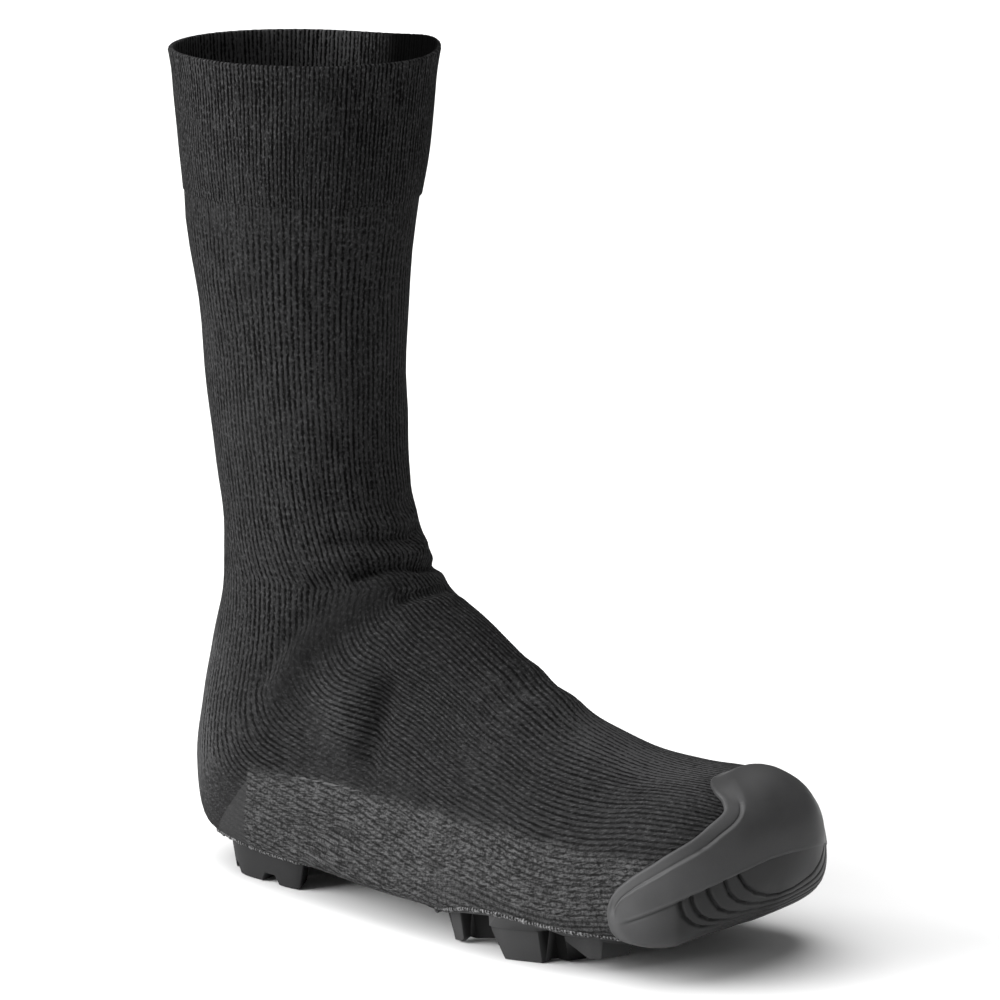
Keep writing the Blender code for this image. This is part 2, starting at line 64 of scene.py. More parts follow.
# Sections of the last, collar to toe box; each joins a front or top point to a back or sole point
Section = namedtuple(
    "Section",
    "name front_x front_z back_x back_z half_width centre_y top_power sole_power egg tuck",
)
SECTIONS = [
    Section("collar", 112.0, 338.5, -1.0, 338.5, 49.5, 0.0, 2.0, 2.0, 0.00, 0.00),
    Section("cuff_hem", 103.5, 281.0, 3.5, 281.0, 43.8, 0.0, 2.0, 2.0, 0.00, 0.00),
    Section("calf", 97.5, 236.0, 9.0, 236.0, 38.7, 0.0, 2.0, 2.0, 0.00, 0.00),
    Section("shin", 96.5, 198.0, 13.0, 198.0, 36.5, 0.0, 2.0, 2.0, 0.00, 0.00),
    Section("ankle", 98.5, 166.0, 17.5, 162.0, 35.5, 0.0, 2.0, 2.0, 0.00, 0.00),
    Section("bend", 107.0, 142.0, 19.0, 124.0, 36.0, 0.0, 2.0, 2.0, 0.02, 0.00),
    Section("throat", 122.0, 126.0, 13.0, 88.0, 37.0, 0.0, 2.0, 2.0, 0.05, 0.00),
    Section("counter", 141.0, 118.5, 4.5, 52.0, 38.8, 0.0, 2.0, 2.15, 0.08, 0.00),
    Section("heel", 157.0, 110.0, 12.0, 19.0, 39.5, 0.0, 2.0, 2.7, 0.14, 0.00),
    Section("seat", 172.0, 102.0, 42.0, 12.0, 40.0, 0.0, 2.0, 4.5, 0.20, 0.03),
    Section("arch", 188.0, 94.5, 92.0, 12.0, 41.0, -1.0, 2.0, 6.0, 0.24, 0.13),
    Section("waist", 204.0, 86.0, 138.0, 11.5, 44.0, -1.0, 2.1, 7.0, 0.24, 0.12),
    Section("ball", 222.0, 79.0, 182.0, 12.0, 47.5, 0.0, 2.2, 7.0, 0.20, 0.03),
    Section("vamp", 241.0, 75.0, 222.0, 12.2, 49.0, 2.0, 2.5, 7.0, 0.14, 0.00),
    Section("toe_box", 256.0, 74.0, 250.0, 13.8, 47.5, 4.5, 2.9, 6.0, 0.08, 0.00),
]
STATION = {section.name: index for index, section in enumerate(SECTIONS)}
DOME_LENGTH = 41.5
DOME_POWER = 2.6
TIP_Y = 6.5
TIP_Z = 48.5
LAST_T = len(SECTIONS) - 1
TIP_T = LAST_T + 1
OUTLINE_POINTS = 240
TABLE_ROWS = 1501
TABLE_COLUMNS = 721

# Openings under the sole
Opening = namedtuple("Opening", "name start_x end_x hem_inset end_power")
OPENINGS = [
    Opening("heel", 23.0, 94.0, 6.5, 4.0),
    Opening("forefoot", 156.5, 259.0, 7.0, 8.0),
]
# How far up the side the hem rides beyond the opening's own edge, along the foot
HEM_RISE = [(94, 0.0), (156.5, 0.0), (164, 1.5), (171, 5.5), (180, 9.0), (190, 10.0), (206, 9.8), (222, 8.4),
            (236, 6.0), (250, 3.5), (259, 0.0)]
# Rows at an opening's ends, as shares of its half length, and how far beyond it the columns gather
OPENING_ROW_PLACES = np.array([0.9, 0.955, 0.983, 0.995, 0.9995, 1.004])
OPENING_END = OPENING_ROW_PLACES[-2]
GATHER_LENGTH = 14.0
# Rolled hem: readings along an opening's side, points along the roll and round it, depth, oval, step out
HEM_READINGS = 220
HEM_POINTS = 260
HEM_SIDES = 12
HEM_SUNK = 0.25
HEM_OVAL = 1.15
HEM_OUT_STEP = 5.0
# Swells along the roll: share of its radius, radians per millimetre and phase
HEM_SWELLS = [(0.18, 0.97, 0.0), (0.16, 2.3, 1.0), (0.12, 3.9, 0.0)]
# A tuft of yarn at the forefoot hem's corner: its place, breadth and swell, and the waves in it
HEM_TUFT = (157.5, -40.5, 13.0)
HEM_TUFT_BREADTH = 3.0
HEM_TUFT_SWELL = 1.4
HEM_TUFT_WAVE = 0.7
HEM_TUFT_TURNS = 3.1

# Rows of the sock in each stretch between sections, the least space between rows, and its columns per rib
SOCK_TOP_T = 0.9
SOCK_STEPS = [4, 4, 6, 11, 16, 13, 8, 6, 6, 6, 6, 5, 5, 5]
ROW_SPACE_T = 0.035
EDGE_RIBS = 22
TOP_COLUMNS_PER_RIB = 4
SOLE_COLUMNS_PER_RIB = 3
# Steps over which the sock's direction is read, its distance from the tip, and readings along the sole
NORMAL_STEP_T = 0.02
NORMAL_STEP_SHARE = 0.004
NORMAL_TIP_T = 0.03
SOLE_READINGS = 600

# Where the ribs turn from the shaft to the foot, in front, and where the turn fades along the foot
RIB_BEND_T = 5.9
RIB_TURN = 0.8
RIB_FADE_X = (185.0, 250.0)
# How far, and over which shares of the foot's height, ribs near its top follow the section
RIB_CROWN = 0.75
RIB_CROWN_SHARES = (0.6, 1.0)
# A rib's broad crest, and where raised ribs end toward the foot
RIB_BROAD = 0.35
RIB_FOOT_SHARES = (0.2, 0.8)
# Unevenness of the raised ribs: share, radians per millimetre in x and z, and the shift from rib to rib
RIB_UNEVEN = 0.25
RIB_UNEVEN_X = 0.11
RIB_UNEVEN_Z = 0.13
RIB_SHIFT = 5
RIB_SHIFT_TURNS = 40
# Ribs lie flatter at the heel's foot: share left off, behind an x and below a height
HEEL_CALM = 0.85
HEEL_CALM_X = (52.0, 62.0)
HEEL_CALM_Z = (36.0, 54.0)
# Slack of worn knit: height of each long wave, radians per millimetre in x, y and z, and phase
SLACK_WAVES = [
    (0.28, (0.045, 0.0, 0.071), 0.6),
    (0.22, (0.0, -0.081, 0.113), 1.9),
    (0.18, (0.157, 0.062, -0.09), 0.0),
]
# The slack fades toward the sole and the toe, and the sock is tucked in under the cuff's hem
SLACK_Z = (16.0, 40.0)
SLACK_X = (230.0, 270.0)
CUFF_TUCK = 0.4
CUFF_TUCK_Z = (-2.5, 0.5)

# Ribs per shaft rib on the ankle's side, in the lower band and on the forefoot, and where the last take over
SIDE_RIBS = 1.55
BAND_RIBS = 1.28
FORE_RIBS = 1.08
FORE_RIB_X = (150.0, 190.0)
# Yarn of the sock, and of the cuff and lining: even ribs, streaks, dashes, flecks, brightness and gloss
Yarn = namedtuple("Yarn", "wave streaks dashes grain light gloss")
SOCK_YARN = Yarn(0.5, 1.5, 2.0, 0.18, 0.34, 0.04)
CUFF_YARN = Yarn(0.75, 2.9, 2.3, 0.30, 0.32, 0.015)
# The same on the foot: even ribs at the ankle and the forefoot, dashes, troughs, flecks and tone
FOOT_WAVE = 0.85
FORE_WAVE = 0.72
FOOT_DASHES = 1.0
FOOT_TROUGH = 0.86
FOOT_GRAIN = 0.3
FOOT_TONE = 0.885
# Values of the foot mark between which the foot's yarn takes over, and the trough where ribs lie flat
FOOT_SHARES = (0.3, 0.7)
CALM_TROUGH = 0.42
# Flat yarn noise: readings across each rib and per metre along it, and its detail and roughness
STREAK_NOISE = (1.6, 55.0)
DASH_NOISE = (2.2, 600.0)
FLECK_NOISE = (1.5, 300.0)
THREAD_NOISE = (3.2, 560.0)
YARN_DETAIL = 2.0
YARN_ROUGHNESS = 0.6
# Noise through the knit: scale and detail, and the roughness of the fuzz
PATCH_NOISE = (24.0, 2.0)
MOTTLE_NOISE = (70.0, 3.0)
FUZZ_NOISE = (800.0, 3.0, 0.75)
# Stitches across each rib, the length of one in metres, and how irregular they are
STITCHES_PER_RIB = 2.0
STITCH_LENGTH = 0.0016
STITCH_RANDOM = 0.8
# Values of the wave from crest to trough, and how patches deepen the troughs
TROUGH_WAVE = (0.42, -0.85)
PATCH_TROUGH = (0.36, 0.62, 0.88, 1.04)
# Light of stitches, mottling, dashes and fuzz: gains, and the noise values between which each comes in
STITCH_LIGHT = 0.22
MOTTLE_LIGHT = (0.6, 0.7)
DASH_LIGHT = 1.7
DASH_RANGE = (0.56, 0.70)
FUZZ_LIGHT_RANGE = (0.54, 0.70)
FUZZ_DARK = -0.45
FUZZ_DARK_RANGE = (0.48, 0.28)
# Bump of the knit: height of fuzz and crests, strength, and distance in metres
FUZZ_RELIEF = 2.2
CREST_RELIEF = 0.9
KNIT_BUMP = (0.75, 0.0004)
KNIT_ROUGHNESS = 0.95

# Lower band: ribs and flecks that break them, the wave from crest to trough, and the share of thread noise
BAND_WAVE = 0.85
BAND_FLECKS = (2.6, -1.3)
BAND_TROUGH = (0.1, -1.1)
BAND_THREAD = 0.35
# Its specks: share of the stitches, noise values, and gains and offsets of specks, troughs and mottling
BAND_STITCH = 0.12
BAND_SPECK = (0.42, 0.76)
BAND_SPECK_LIGHT = (0.9, 0.08)
BAND_TROUGH_LIGHT = (-0.85, 1.1)
BAND_MOTTLE_LIGHT = (0.4, 0.8)
# Its top, from the upright edge of the heel's gore to where it is level, how ragged it is, and its softness
GORE_X = 58.0
BAND_LEVEL_X = 96.0
BAND_TOP_Z = (48.5, 50.8)
BAND_RAGGED = 6.0
BAND_SOFT = 3.5
BAND_EDGE_SOFT = 0.5
# The gore's wedge: top, slope of its back edge, softness, and how much of the band's mean colour it takes
GORE_TOP_Z = 44.0
GORE_SLOPE = -0.79
GORE_SOFT = 0.4
GORE_TOP_SOFT = 0.6
GORE_TAKES = 0.45
# The dotted row on the band's top: half height, start and end, stitches that show, and light
ROW_HEIGHT = (0.6, 0.1)
ROW_START = (10.0, 28.0)
ROW_END_X = 150.0
ROW_STITCH = (0.45, 0.7, 0.0, 0.75)
ROW_LIGHT = 1.3

# Hem yarn: length of a stitch in metres, noise, its gain and offset, ragged thread, light, finish and bump
HEM_STITCH = 0.0013
HEM_NOISE = (900.0, 3.0)
HEM_UNEVEN = (1.6, -0.3)
HEM_RAGGED = 5.0
HEM_THREAD = (0.5, -2.5)
HEM_RANGE = (-0.7, 0.6)
HEM_LIGHT = 2.5
HEM_ROUGHNESS = 0.9
HEM_GLOSS = 0.25
HEM_BUMP = (0.6, 0.0003)

# Folds of the knit: lines of points on the outer surface, height out of it and half breadth
Fold = namedtuple("Fold", "name height breadth points")
FOLDS = [
    Fold("shin_dip", -1.0, 2.4, [(88, -27, 161), (97, -12, 160), (100, 8, 157), (95, 22, 160)]),
    Fold("upper_roll", 1.5, 2.0, [(90, -27, 151), (101, -12, 151), (104, 5, 149.5), (99, 21, 152)]),
    Fold("upper_dip", -2.2, 1.6, [(92, -26, 146), (103, -11, 146), (106, 5, 144.5), (101, 20, 147)]),
    Fold("lower_roll", 2.2, 2.2, [(91, -29, 139), (105, -14, 139), (110, 4, 138), (104, 20, 141)]),
    Fold("shin_fill", 1.1, 20.0, [(99, 28, 338), (95, 24, 281), (90, 21, 236), (90, 20, 198)]),
    Fold("ankle_fill", 1.5, 11.0, [(90, 20, 188), (92, 19, 170), (99, 18, 151), (103, 18, 142)]),
    Fold("tendon_dip", -1.9, 11.0, [(27, -20, 149), (18, 0, 149), (27, 20, 149)]),
    Fold("heel_dip", -0.9, 9.0, [(20, -19, 118), (16, 0, 116), (20, 19, 118)]),
    Fold("ankle_fold", -4.6, 1.7, [(102, -23, 133), (106, -16, 134.5), (113, 4, 133.5), (109, 19, 130),
                                   (104, 25, 129), (96, 31, 129.5)]),
    Fold("ankle_fold_end", -1.4, 2.4, [(88, -32, 128), (98, -27, 132)]),
    Fold("collar_dip", -2.2, 3.2, [(84, -34.5, 114), (76, -36.5, 104), (66, -38.5, 88)]),
    Fold("collar_roll", 2.0, 4.5, [(110, -14, 128), (100, -30, 116), (85, -36, 102), (72, -39, 84.5)]),
    Fold("instep_dip", -2.2, 1.7, [(119, -13, 124), (122.5, -5, 125), (122, 9, 124)]),
    Fold("instep_roll", 1.1, 3.0, [(122, -16, 119), (129, -4, 122), (129, 9, 121)]),
    Fold("strap_dip", -3.8, 3.6, [(125, -30, 91), (123, -35, 77), (121, -38, 64)]),
    Fold("ankle_bump", 3.0, 6.5, [(104, -36, 82), (106, -37.5, 73)]),
    Fold("counter_dip", -1.0, 9.0, [(9, -22, 64), (4, 0, 62), (9, 22, 64)]),
    Fold("heel_hollow", -0.8, 7.0, [(84, -39.5, 78), (78, -40.5, 62)]),
    Fold("lace_roll", 0.8, 4.0, [(165, -19, 95), (170, -4, 101), (170, 9, 100)]),
    Fold("lace_dip", -0.7, 3.5, [(173, -20, 90), (179, -4, 96), (179, 9, 95)]),
    Fold("toe_strap_roll", 0.8, 4.5, [(186, -17, 88), (190, -4, 92), (190, 9, 91)]),
    Fold("inner_collar_roll", 1.1, 4.5, [(106, 24, 126), (96, 32, 110), (76, 38, 88)]),
    Fold("inner_dip", -1.1, 5.0, [(128, 30, 88), (126, 37, 66)]),
    Fold("inner_bump", 1.2, 8.0, [(110, 37, 76)]),
    Fold("hem_corner", 3.4, 3.4, [(158, -38, 12.5)]),
    Fold("toe_corner", -4.1, 7.5, [(280.1, 30.6, 68.2), (287.1, 31.6, 64.2), (288.1, 37.6, 57.2)]),
    Fold("inner_hem_corner", 1.6, 3.0, [(158, 36, 12.5)]),
]

# Zones where the ribs lie flat: share left off, half breadth, and a line of points
Calm = namedtuple("Calm", "name share breadth points")
CALM_ZONES = [
    Calm("collar_roll", 0.78, 9.0, [(108, -18, 124), (100, -30, 116), (85, -36, 102), (76, -39, 86)]),
    Calm("ankle_bone", 0.7, 6.5, [(92, -38, 76), (96, -38, 66), (112, -39, 62)]),
    Calm("band_edge", 0.6, 5.0, [(84, -40, 56), (118, -41, 57), (146, -42, 56)]),
    Calm("inner_collar_roll", 0.7, 6.0, [(106, 24, 126), (96, 32, 110), (76, 38, 88)]),
]

# Painted light and shade on the knit, zone by zone: gain, half breadth, and a line of points
Tone = namedtuple("Tone", "name gain breadth points")
PAINTED_LIGHT_ZONES = [
    Tone("ankle_side", -0.38, 9.0, [(94, -33, 124), (84, -37, 108)]),
    Tone("ankle_bump", 0.5, 8.0, [(104, -36, 82), (106, -37.5, 73)]),
    Tone("collar_roll", -0.2, 8.0, [(108, -18, 124), (100, -30, 116), (85, -36, 102)]),
    Tone("strap", -0.16, 6.0, [(125, -30, 91), (123, -35, 77), (121, -38, 64)]),
    Tone("heel_side", -0.22, 12.0, [(66, -39, 82), (62, -39, 62)]),
    Tone("foot_side", -0.1, 22.0, [(140, -33, 78), (200, -27, 74)]),
    Tone("shin_front", -0.14, 18.0, [(99, 22, 300), (93, 16, 236), (93, 14, 190)]),
    Tone("shin_side", 0.1, 14.0, [(88, -29, 300), (84, -28, 236), (84, -26, 190), (88, -26, 150)]),
    Tone("instep", -0.13, 12.0, [(136, -18, 113), (150, -14, 107)]),
    Tone("heel_back", 1.9, 13.0, [(14, -21, 82), (15, -23, 62), (18, -24, 44)]),
    Tone("vamp_top", 1.7, 14.0, [(212, 2, 83), (248, 2, 75)]),
]

# How much darker the shaft gets toward the cuff, and over which heights
SHAFT_TOP_DARK = 0.12
SHAFT_TOP_Z = (210.0, 275.0)

# Cuff: height of its hem, its own height, and its wall over the last outside and inside
CUFF_HEM_Z = SECTIONS[STATION["cuff_hem"]].front_z
CUFF_HEIGHT = SECTIONS[STATION["collar"]].front_z - CUFF_HEM_Z
CUFF_OUT = 0.3
CUFF_IN = -1.3
CUFF_RADIUS = (CUFF_OUT - CUFF_IN) / 2
CUFF_MIDDLE = (CUFF_OUT + CUFF_IN) / 2
CUFF_FOOT_ROUND = 0.4
CUFF_ROWS = 16
CUFF_ROUND_STEPS = 6
CUFF_COLUMNS_PER_RIB = 4
# Above its hem it stands out in front and is drawn in elsewhere
CUFF_FRONT = 0.6
CUFF_FRONT_X = (86.0, 104.0)
CUFF_FRONT_T = (0.2, 1.0)
CUFF_FLUSH = -0.22
CUFF_FLUSH_T = (0.75, 1.0)
# Its ribs: those of the lining against the outside, and unevenness as share, drift in x and z, and shift
LINING_RIBS = -0.6
CUFF_UNEVEN = 0.5
CUFF_UNEVEN_X = 0.05
CUFF_UNEVEN_Z = 0.31
CUFF_SHIFT = 9
CUFF_SHIFT_TURNS = 7
# The roll at its top: how far out and down it goes, its depth, and lumps round it
CUFF_ROLL = 0.3
CUFF_ROLL_DROP = 0.08
CUFF_ROLL_DEPTH = 5.0
CUFF_LUMP = 0.4
CUFF_LUMP_TURNS = (61, 97)
CUFF_LUMP_PHASE = 1.0
# The collar stands a little higher at its inner front
COLLAR_LIFT = 3.2
COLLAR_LIFT_AT = (90.0, 37.0)
COLLAR_LIFT_BREADTH = 19.0
COLLAR_LIFT_T = (0.0, 0.6)
# Tone of the cuff, its painted shade falling to the front, and a painted highlight on its rim
CUFF_TONE = 1.045
CUFF_PAINTED_SHADE = 0.26
CUFF_PAINTED_SHADE_X = (50.0, 108.0)
RIM_PAINTED_HIGHLIGHT = 0.22
RIM_PAINTED_HIGHLIGHT_DEPTH = 6.0
# Painted light and shade of the lining: gain, fall to the front, where it takes over, and tone where black
# starts
LINING_PAINTED_LIGHT = 2.2
LINING_PAINTED_SHADE = 0.94
LINING_PAINTED_SHADE_X = (24.0, 66.0)
LINING_TURN = (-0.3, 0.3)
LINING_PAINTED_BLACK_TONE = 0.4
PAINTED_SHADE_BLACK = (0.0, 0.0, 0.0, 1.0)
# Height over which the ribs change at the cuff's hem
HEM_BLEND = 20.0

# Toe cap border round the sock, from the sole over the top, as places along the last
BorderPoint = namedtuple("BorderPoint", "name share x")
CAP_BORDER = [
    BorderPoint("sole_middle", 0.000, 262.0),
    BorderPoint("sole_edge", 0.140, 261.0),
    BorderPoint("wing_foot", 0.163, 255.5),
    BorderPoint("wing_end_low", 0.185, 250.8),
    BorderPoint("wing_end", 0.212, 249.3),
    BorderPoint("wing_end_high", 0.236, 250.8),
    BorderPoint("wing_top", 0.260, 257.0),
    BorderPoint("wing_slope", 0.290, 268.5),
    BorderPoint("shoulder", 0.325, 279.2),
    BorderPoint("shoulder_front", 0.360, 283.2),
    BorderPoint("notch", 0.393, 284.0),
    BorderPoint("notch_side", 0.416, 280.5),
    BorderPoint("tongue_foot", 0.430, 275.5),
    BorderPoint("tongue_side", 0.450, 270.0),
    BorderPoint("tongue_corner", 0.470, 266.5),
    BorderPoint("tongue_end", 0.500, 265.0),
]
# Columns of the cap, distances of its rows from the border, and rows of its body and inside
CAP_COLUMNS = 600
CAP_EDGE_PLACES = [0.0, 0.12, 0.3, 0.6, 1.0, 1.7, 2.5, 3.2, 3.6, 3.8, 4.0, 4.2, 4.4, 4.6, 4.8, 5.0, 5.2, 5.4,
                   5.6, 5.8, 6.0, 6.2, 6.4, 6.7, 7.1, 7.7, 8.5, 9.6, 11.0]
CAP_BODY_ROWS = 112
CAP_INNER_ROWS = 6
# Readings along each column and for the border, how far short of the tip they end, and the tip's own step
CAP_READINGS = 200
BORDER_READINGS = 700
CAP_TIP_T = 0.004
CAP_TIP_OUT = 0.05
# How far the cap's outside is lifted off the knit, and its inside sunk into it
CAP_SEAT = 0.15
CAP_SUNK = 0.35
# Girth shares where the step from lip to body comes in and goes out, its width, and the border's round
STEP_START = (0.205, 0.222)
STEP_END = (0.415, 0.440)
STEP_WIDTH = 0.7
EDGE_ROUND = 1.0
# Bead on the step and crease at its foot: height, distance from the step's foot, and breadth
STEP_BEAD = (0.14, 1.0, 0.45)
STEP_CREASE = (-0.2, -0.05, 0.3)
# The tongue: girth shares where it comes in, and height of its edge; the body feathers in from the border
TONGUE_SHARES = (0.40, 0.45)
TONGUE_HEIGHT = 1.3
FEATHER_EDGE = (0.5, 8.0)
# Share of the lip's width at girth shares from the wing's end to the tongue
CAP_LIP_SHARES = [(0.18, 0.78), (0.22, 0.78), (0.30, 0.86), (0.36, 1.0), (0.41, 1.1), (0.45, 1.1)]
# Ledge round the toe: angle from straight ahead in degrees, and height
CAP_LEDGE = [(0, 50.3), (8, 50.1), (14, 50.0), (21, 49.0), (30, 47.1), (37, 45.2), (44, 42.8), (51, 40.0),
             (56, 37.6), (63, 34.2), (71, 30.3), (80, 26.2), (110, 14.0)]
# Depth of the recess under the ledge, at angles from straight ahead
CAP_RECESS = [(0, 0.7), (25, 0.9), (40, 1.4), (52, 1.2), (58, 0.5), (70, 0.2), (84, 0.0)]
# Turn of the ledge's middle in degrees, and how the recess comes in under the ledge
LEDGE_TURN = 1.0
LEDGE_UNDER = (-0.1, 0.8)
# The ledge fades toward the inner side, between two angles, and ends at the wings
LEDGE_FADE = 0.8
LEDGE_FADE_ANGLES = (-6.0, 14.0)
LEDGE_END = 84
LEDGE_END_FADE = 8
# The thin line under the ledge and the bead over it: distance under the ledge and breadth
LEDGE_LINE = (0.35, 0.4)
LEDGE_BEAD = (-0.7, 0.45)
# The line is faint in front and full behind an angle; depth of the line, height of the bead
LINE_FRONT = 0.35
LINE_REAR_ANGLES = (50, 58)
LINE_DEPTH = 0.45
BEAD_HEIGHT = 0.15
# Relief comes in away from the border, and is read a little out from the knit
RELIEF_EDGE = (3.0, 9.0)
RELIEF_OUT = 3.0
# Crown of the cap over the toes: a line of points, height, half breadth, and where it comes in
CAP_CROWN = [(285, 13.3, 74), (292, 18.4, 70), (299, 21.4, 58)]
CAP_CROWN_HEIGHT = 3.6
CAP_CROWN_BREADTH = 12.6
CAP_CROWN_EDGE = (0.5, 9.0)
# Shades of the cap: the body's own darker rubber, and painted shade on bumper, front, crown, chin, tongue and
# wings; where each comes in
BODY_SHADE = 0.92
BODY_EDGE = (5.5, 7.0)
BUMPER_PAINTED_SHADE = 0.42
BUMPER_RECESS = (0.1, 0.8)
FRONT_PAINTED_SHADE = 0.61
FRONT_X = (282.0, 297.0)
CROWN_PAINTED_SHADE = 0.71
CROWN_Z = (64.0, 73.0)
CHIN_PAINTED_SHADE = 0.4
CHIN_X = (272.0, 288.0)
CHIN_Z = (21.0, 33.0)
TONGUE_PAINTED_SHADE = 0.67
TONGUE_EDGE = (4.0, 14.0)
WING_PAINTED_SHADE = 0.72
WING_Y = (26.0, 42.0)
# Painted shade in the grooves, a painted shadow under the ledge's line, and a painted highlight on its bead
GROOVE_PAINTED_SHADE = 0.2
LINE_PAINTED_SHADOW = 0.4
BEAD_PAINTED_HIGHLIGHT = 0.2
# Grip grooves under the ledge, each from the ledge down and round the toe to straight ahead
CAP_GROOVES = [
    [(56.6, 38.5), (55.9, 34.5), (54.6, 31.1), (51.3, 27.7), (47.3, 25.6), (40.0, 24.2), (27.7, 22.8),
     (10.0, 21.2), (0.0, 20.8)],
    [(52.0, 40.5), (51.3, 37.3), (50.0, 34.0), (47.5, 30.8), (43.1, 28.2), (35.7, 26.6), (22.7, 25.2),
     (8.0, 23.8), (0.0, 23.4)],
    [(45.0, 43.5), (44.3, 40.1), (42.2, 36.5), (39.4, 32.9), (34.2, 30.3), (25.6, 28.5), (10.0, 26.6),
     (0.0, 26.1)],
    [(37.6, 46.0), (36.6, 43.0), (34.6, 38.7), (30.5, 35.1), (23.1, 32.0), (12.0, 29.8), (0.0, 28.9)],
    [(31.2, 48.0), (30.5, 45.8), (26.8, 40.9), (20.8, 36.6), (10.0, 32.9), (0.0, 31.8)],
]
# Arc and rise of the toe's side as the grooves are unrolled, and half breadth of a groove
GROOVE_ARC = 42.0
GROOVE_RISE = 1.2
GROOVE_BREADTH = 0.55

# Sole plate inside the knit
PLATE_BACK_X = 20.0
PLATE_FRONT_X = 280.0
PLATE_ROWS = 90
KNIT_WALL = 1.6
PLATE_LIFT = 1.2
PLATE_WALL = 4.0
PLATE_SIDE_GAP = 3.6
PLATE_CORNER = 1.5
PLATE_CORNER_POINTS = 5
PLATE_LOW_READING = 1.0
PLATE_FLARE = 1.4
# Girth shares over which the knit's inside is read
REACH_SHARES = (0.004, 0.33)
REACH_READINGS = 160

# Treads
FIT_GAP = 0.35
TREAD_HEM_GAP = 2.2
TREAD_DRAFT = 0.14
TREAD_SHELF = 1.8
# The wall that carries a tread up to the hem: in and up from the hem, above it and below, and its ledge
RIM_HIGH = (1.0, 1.2)
RIM_LOW = (0.9, -1.5)
RIM_LEDGE = (-0.7, 0.35)
# Corners of a ring with a rim that come before its outer wall
RIM_CORNERS = 4
# The heel's horseshoe, its cleats and the notches between them
HEEL_FRONT_X = 83.5
HEEL_FRONT_SKEW = 9.0
HEEL_SKEW_SHARES = (0.4, 1.0)
HEEL_END_SLANT = 2.4
HEEL_TURN_X = 54.0
HEEL_BACK_X = 27.5
HEEL_BAND_WIDTH = 15.0
HEEL_CLEATS = 7
HEEL_CLEAT_STOPS = (0.0, 0.25, 0.5, 0.75, 1.0)
HEEL_READINGS = 1201
HEEL_NOTCH = 10.0
HEEL_NOTCH_DEPTH = 3.8
HEEL_SLOPE = 2.2
HEEL_TOP_Z = 14.3
# Forefoot strips, back to front: ground height, width, how far out they stand, and painted shade in the
# recesses
LUG_SKEW = 0.5
LugRow = namedtuple("LugRow", "name x ground_z width out shade")
FOREFOOT_LUGS = [
    LugRow("strip_back", 162.5, 10.5, 7.0, 0.0, 0.4),
    LugRow("post_back_root", 166.5, 10.5, 7.0, 0.0, 0.2),
    LugRow("post_back", 168.6, 2.4, 5.5, 0.2, 0.4),
    LugRow("post_low", 170.2, 0.5, 5.5, 1.4, 0.9),
    LugRow("post_front", 173.8, 0.5, 5.0, 1.4, 1.0),
    LugRow("post_front_high", 175.2, 2.0, 5.0, 1.4, 0.9),
    LugRow("post_front_root", 175.8, 3.0, 6.0, 0.5, 0.3),
    LugRow("rear_web", 177.5, 1.4, 9.0, -3.5, 0.06),
    LugRow("rear_web_end", 191.5, 4.6, 9.0, -3.0, 0.06),
    LugRow("main_back_root", 195.2, 11.0, 9.0, 6.5, 0.7),
    LugRow("main_back", 200.0, 0.0, 9.0, 6.5, 1.0),
    LugRow("main_middle", 207.0, 0.0, 7.5, 4.4, 1.0),
    LugRow("main_front", 214.2, 0.0, 5.0, 2.2, 1.0),
    LugRow("main_front_root", 215.0, 1.2, 5.5, 0.2, 0.08),
    LugRow("front_web", 217.0, 0.8, 10.0, -4.0, 0.02),
    LugRow("front_web_end", 222.0, 0.8, 10.0, -4.0, 0.02),
    LugRow("fore_back_root", 225.5, 11.0, 13.0, 1.0, 0.6),
    LugRow("fore_back", 234.5, 5.0, 14.0, 1.0, 1.0),
    LugRow("fore_front", 239.0, 5.3, 13.0, 0.0, 1.0),
    LugRow("fore_front_root", 240.4, 12.5, 13.0, 0.0, 0.6),
    LugRow("strip_front", 248.0, 12.5, 12.0, 0.0, 0.6),
]
# Edges of treads and plate: bevel steps, and the angles in degrees beyond which edges are bevelled or sharp
BEVEL_STEPS = 3
BEVEL_ANGLE = 28
TREAD_SMOOTH = 30.0
PLATE_SMOOTH = 50.0

# Rubbers and plastic: roughness, gloss, and depth of the grain in metres
Finish = namedtuple("Finish", "roughness gloss grain")
CAP_FINISH = Finish(0.5, 0.18, 0.00006)
TREAD_FINISH = Finish(0.65, 0.07, 0.0001)
PLATE_FINISH = Finish(0.55, 0.2, 0.0001)
# Noise in rubber as scale and detail, its gains and offsets, dark and light, and uneven roughness
CLOUD_NOISE = (60.0, 4.0)
GRAIN_NOISE = (2600.0, 2.0)
CLOUD_TONE = (0.35, 0.82)
GRAIN_TONE = (0.2, 0.9)
RUBBER_DARK = 0.55
RUBBER_LIGHT = 1.45
RUBBER_TONES = (0.7, 1.3)
# Colour toward which the mark of tone and painted shade darkens the rubber
RUBBER_SHADOW = (0.002, 0.002, 0.002, 1.0)
RUBBER_CLOUDS = (0.3, 0.7)
ROUGHNESS_SPREAD = 0.06
RUBBER_BUMP = 0.35

# Stage: floor, surrounding light, suns and camera
FLOOR_HALF = 12.0
FLOOR_Z = -0.0002
FLOOR_ROUGHNESS = 0.9
FLOOR_GLOSS = 0.1
WHITE = (1.0, 1.0, 1.0, 1.0)
WORLD_LIGHT = 0.2
Sun = namedtuple("Sun", "name side elevation angle strength")
SUNS = [
    Sun("key", (-0.68, -0.73), 17.0, 50.0, 5.8),
    Sun("top", (-0.3, -0.2), 78.0, 70.0, 3.0),
]
SUN_DISTANCE = 2
CAMERA_PLACE = (1.2874, -1.5341, 0.640)
CAMERA_SENSOR = 36.0
CAMERA_REACH = 100.0


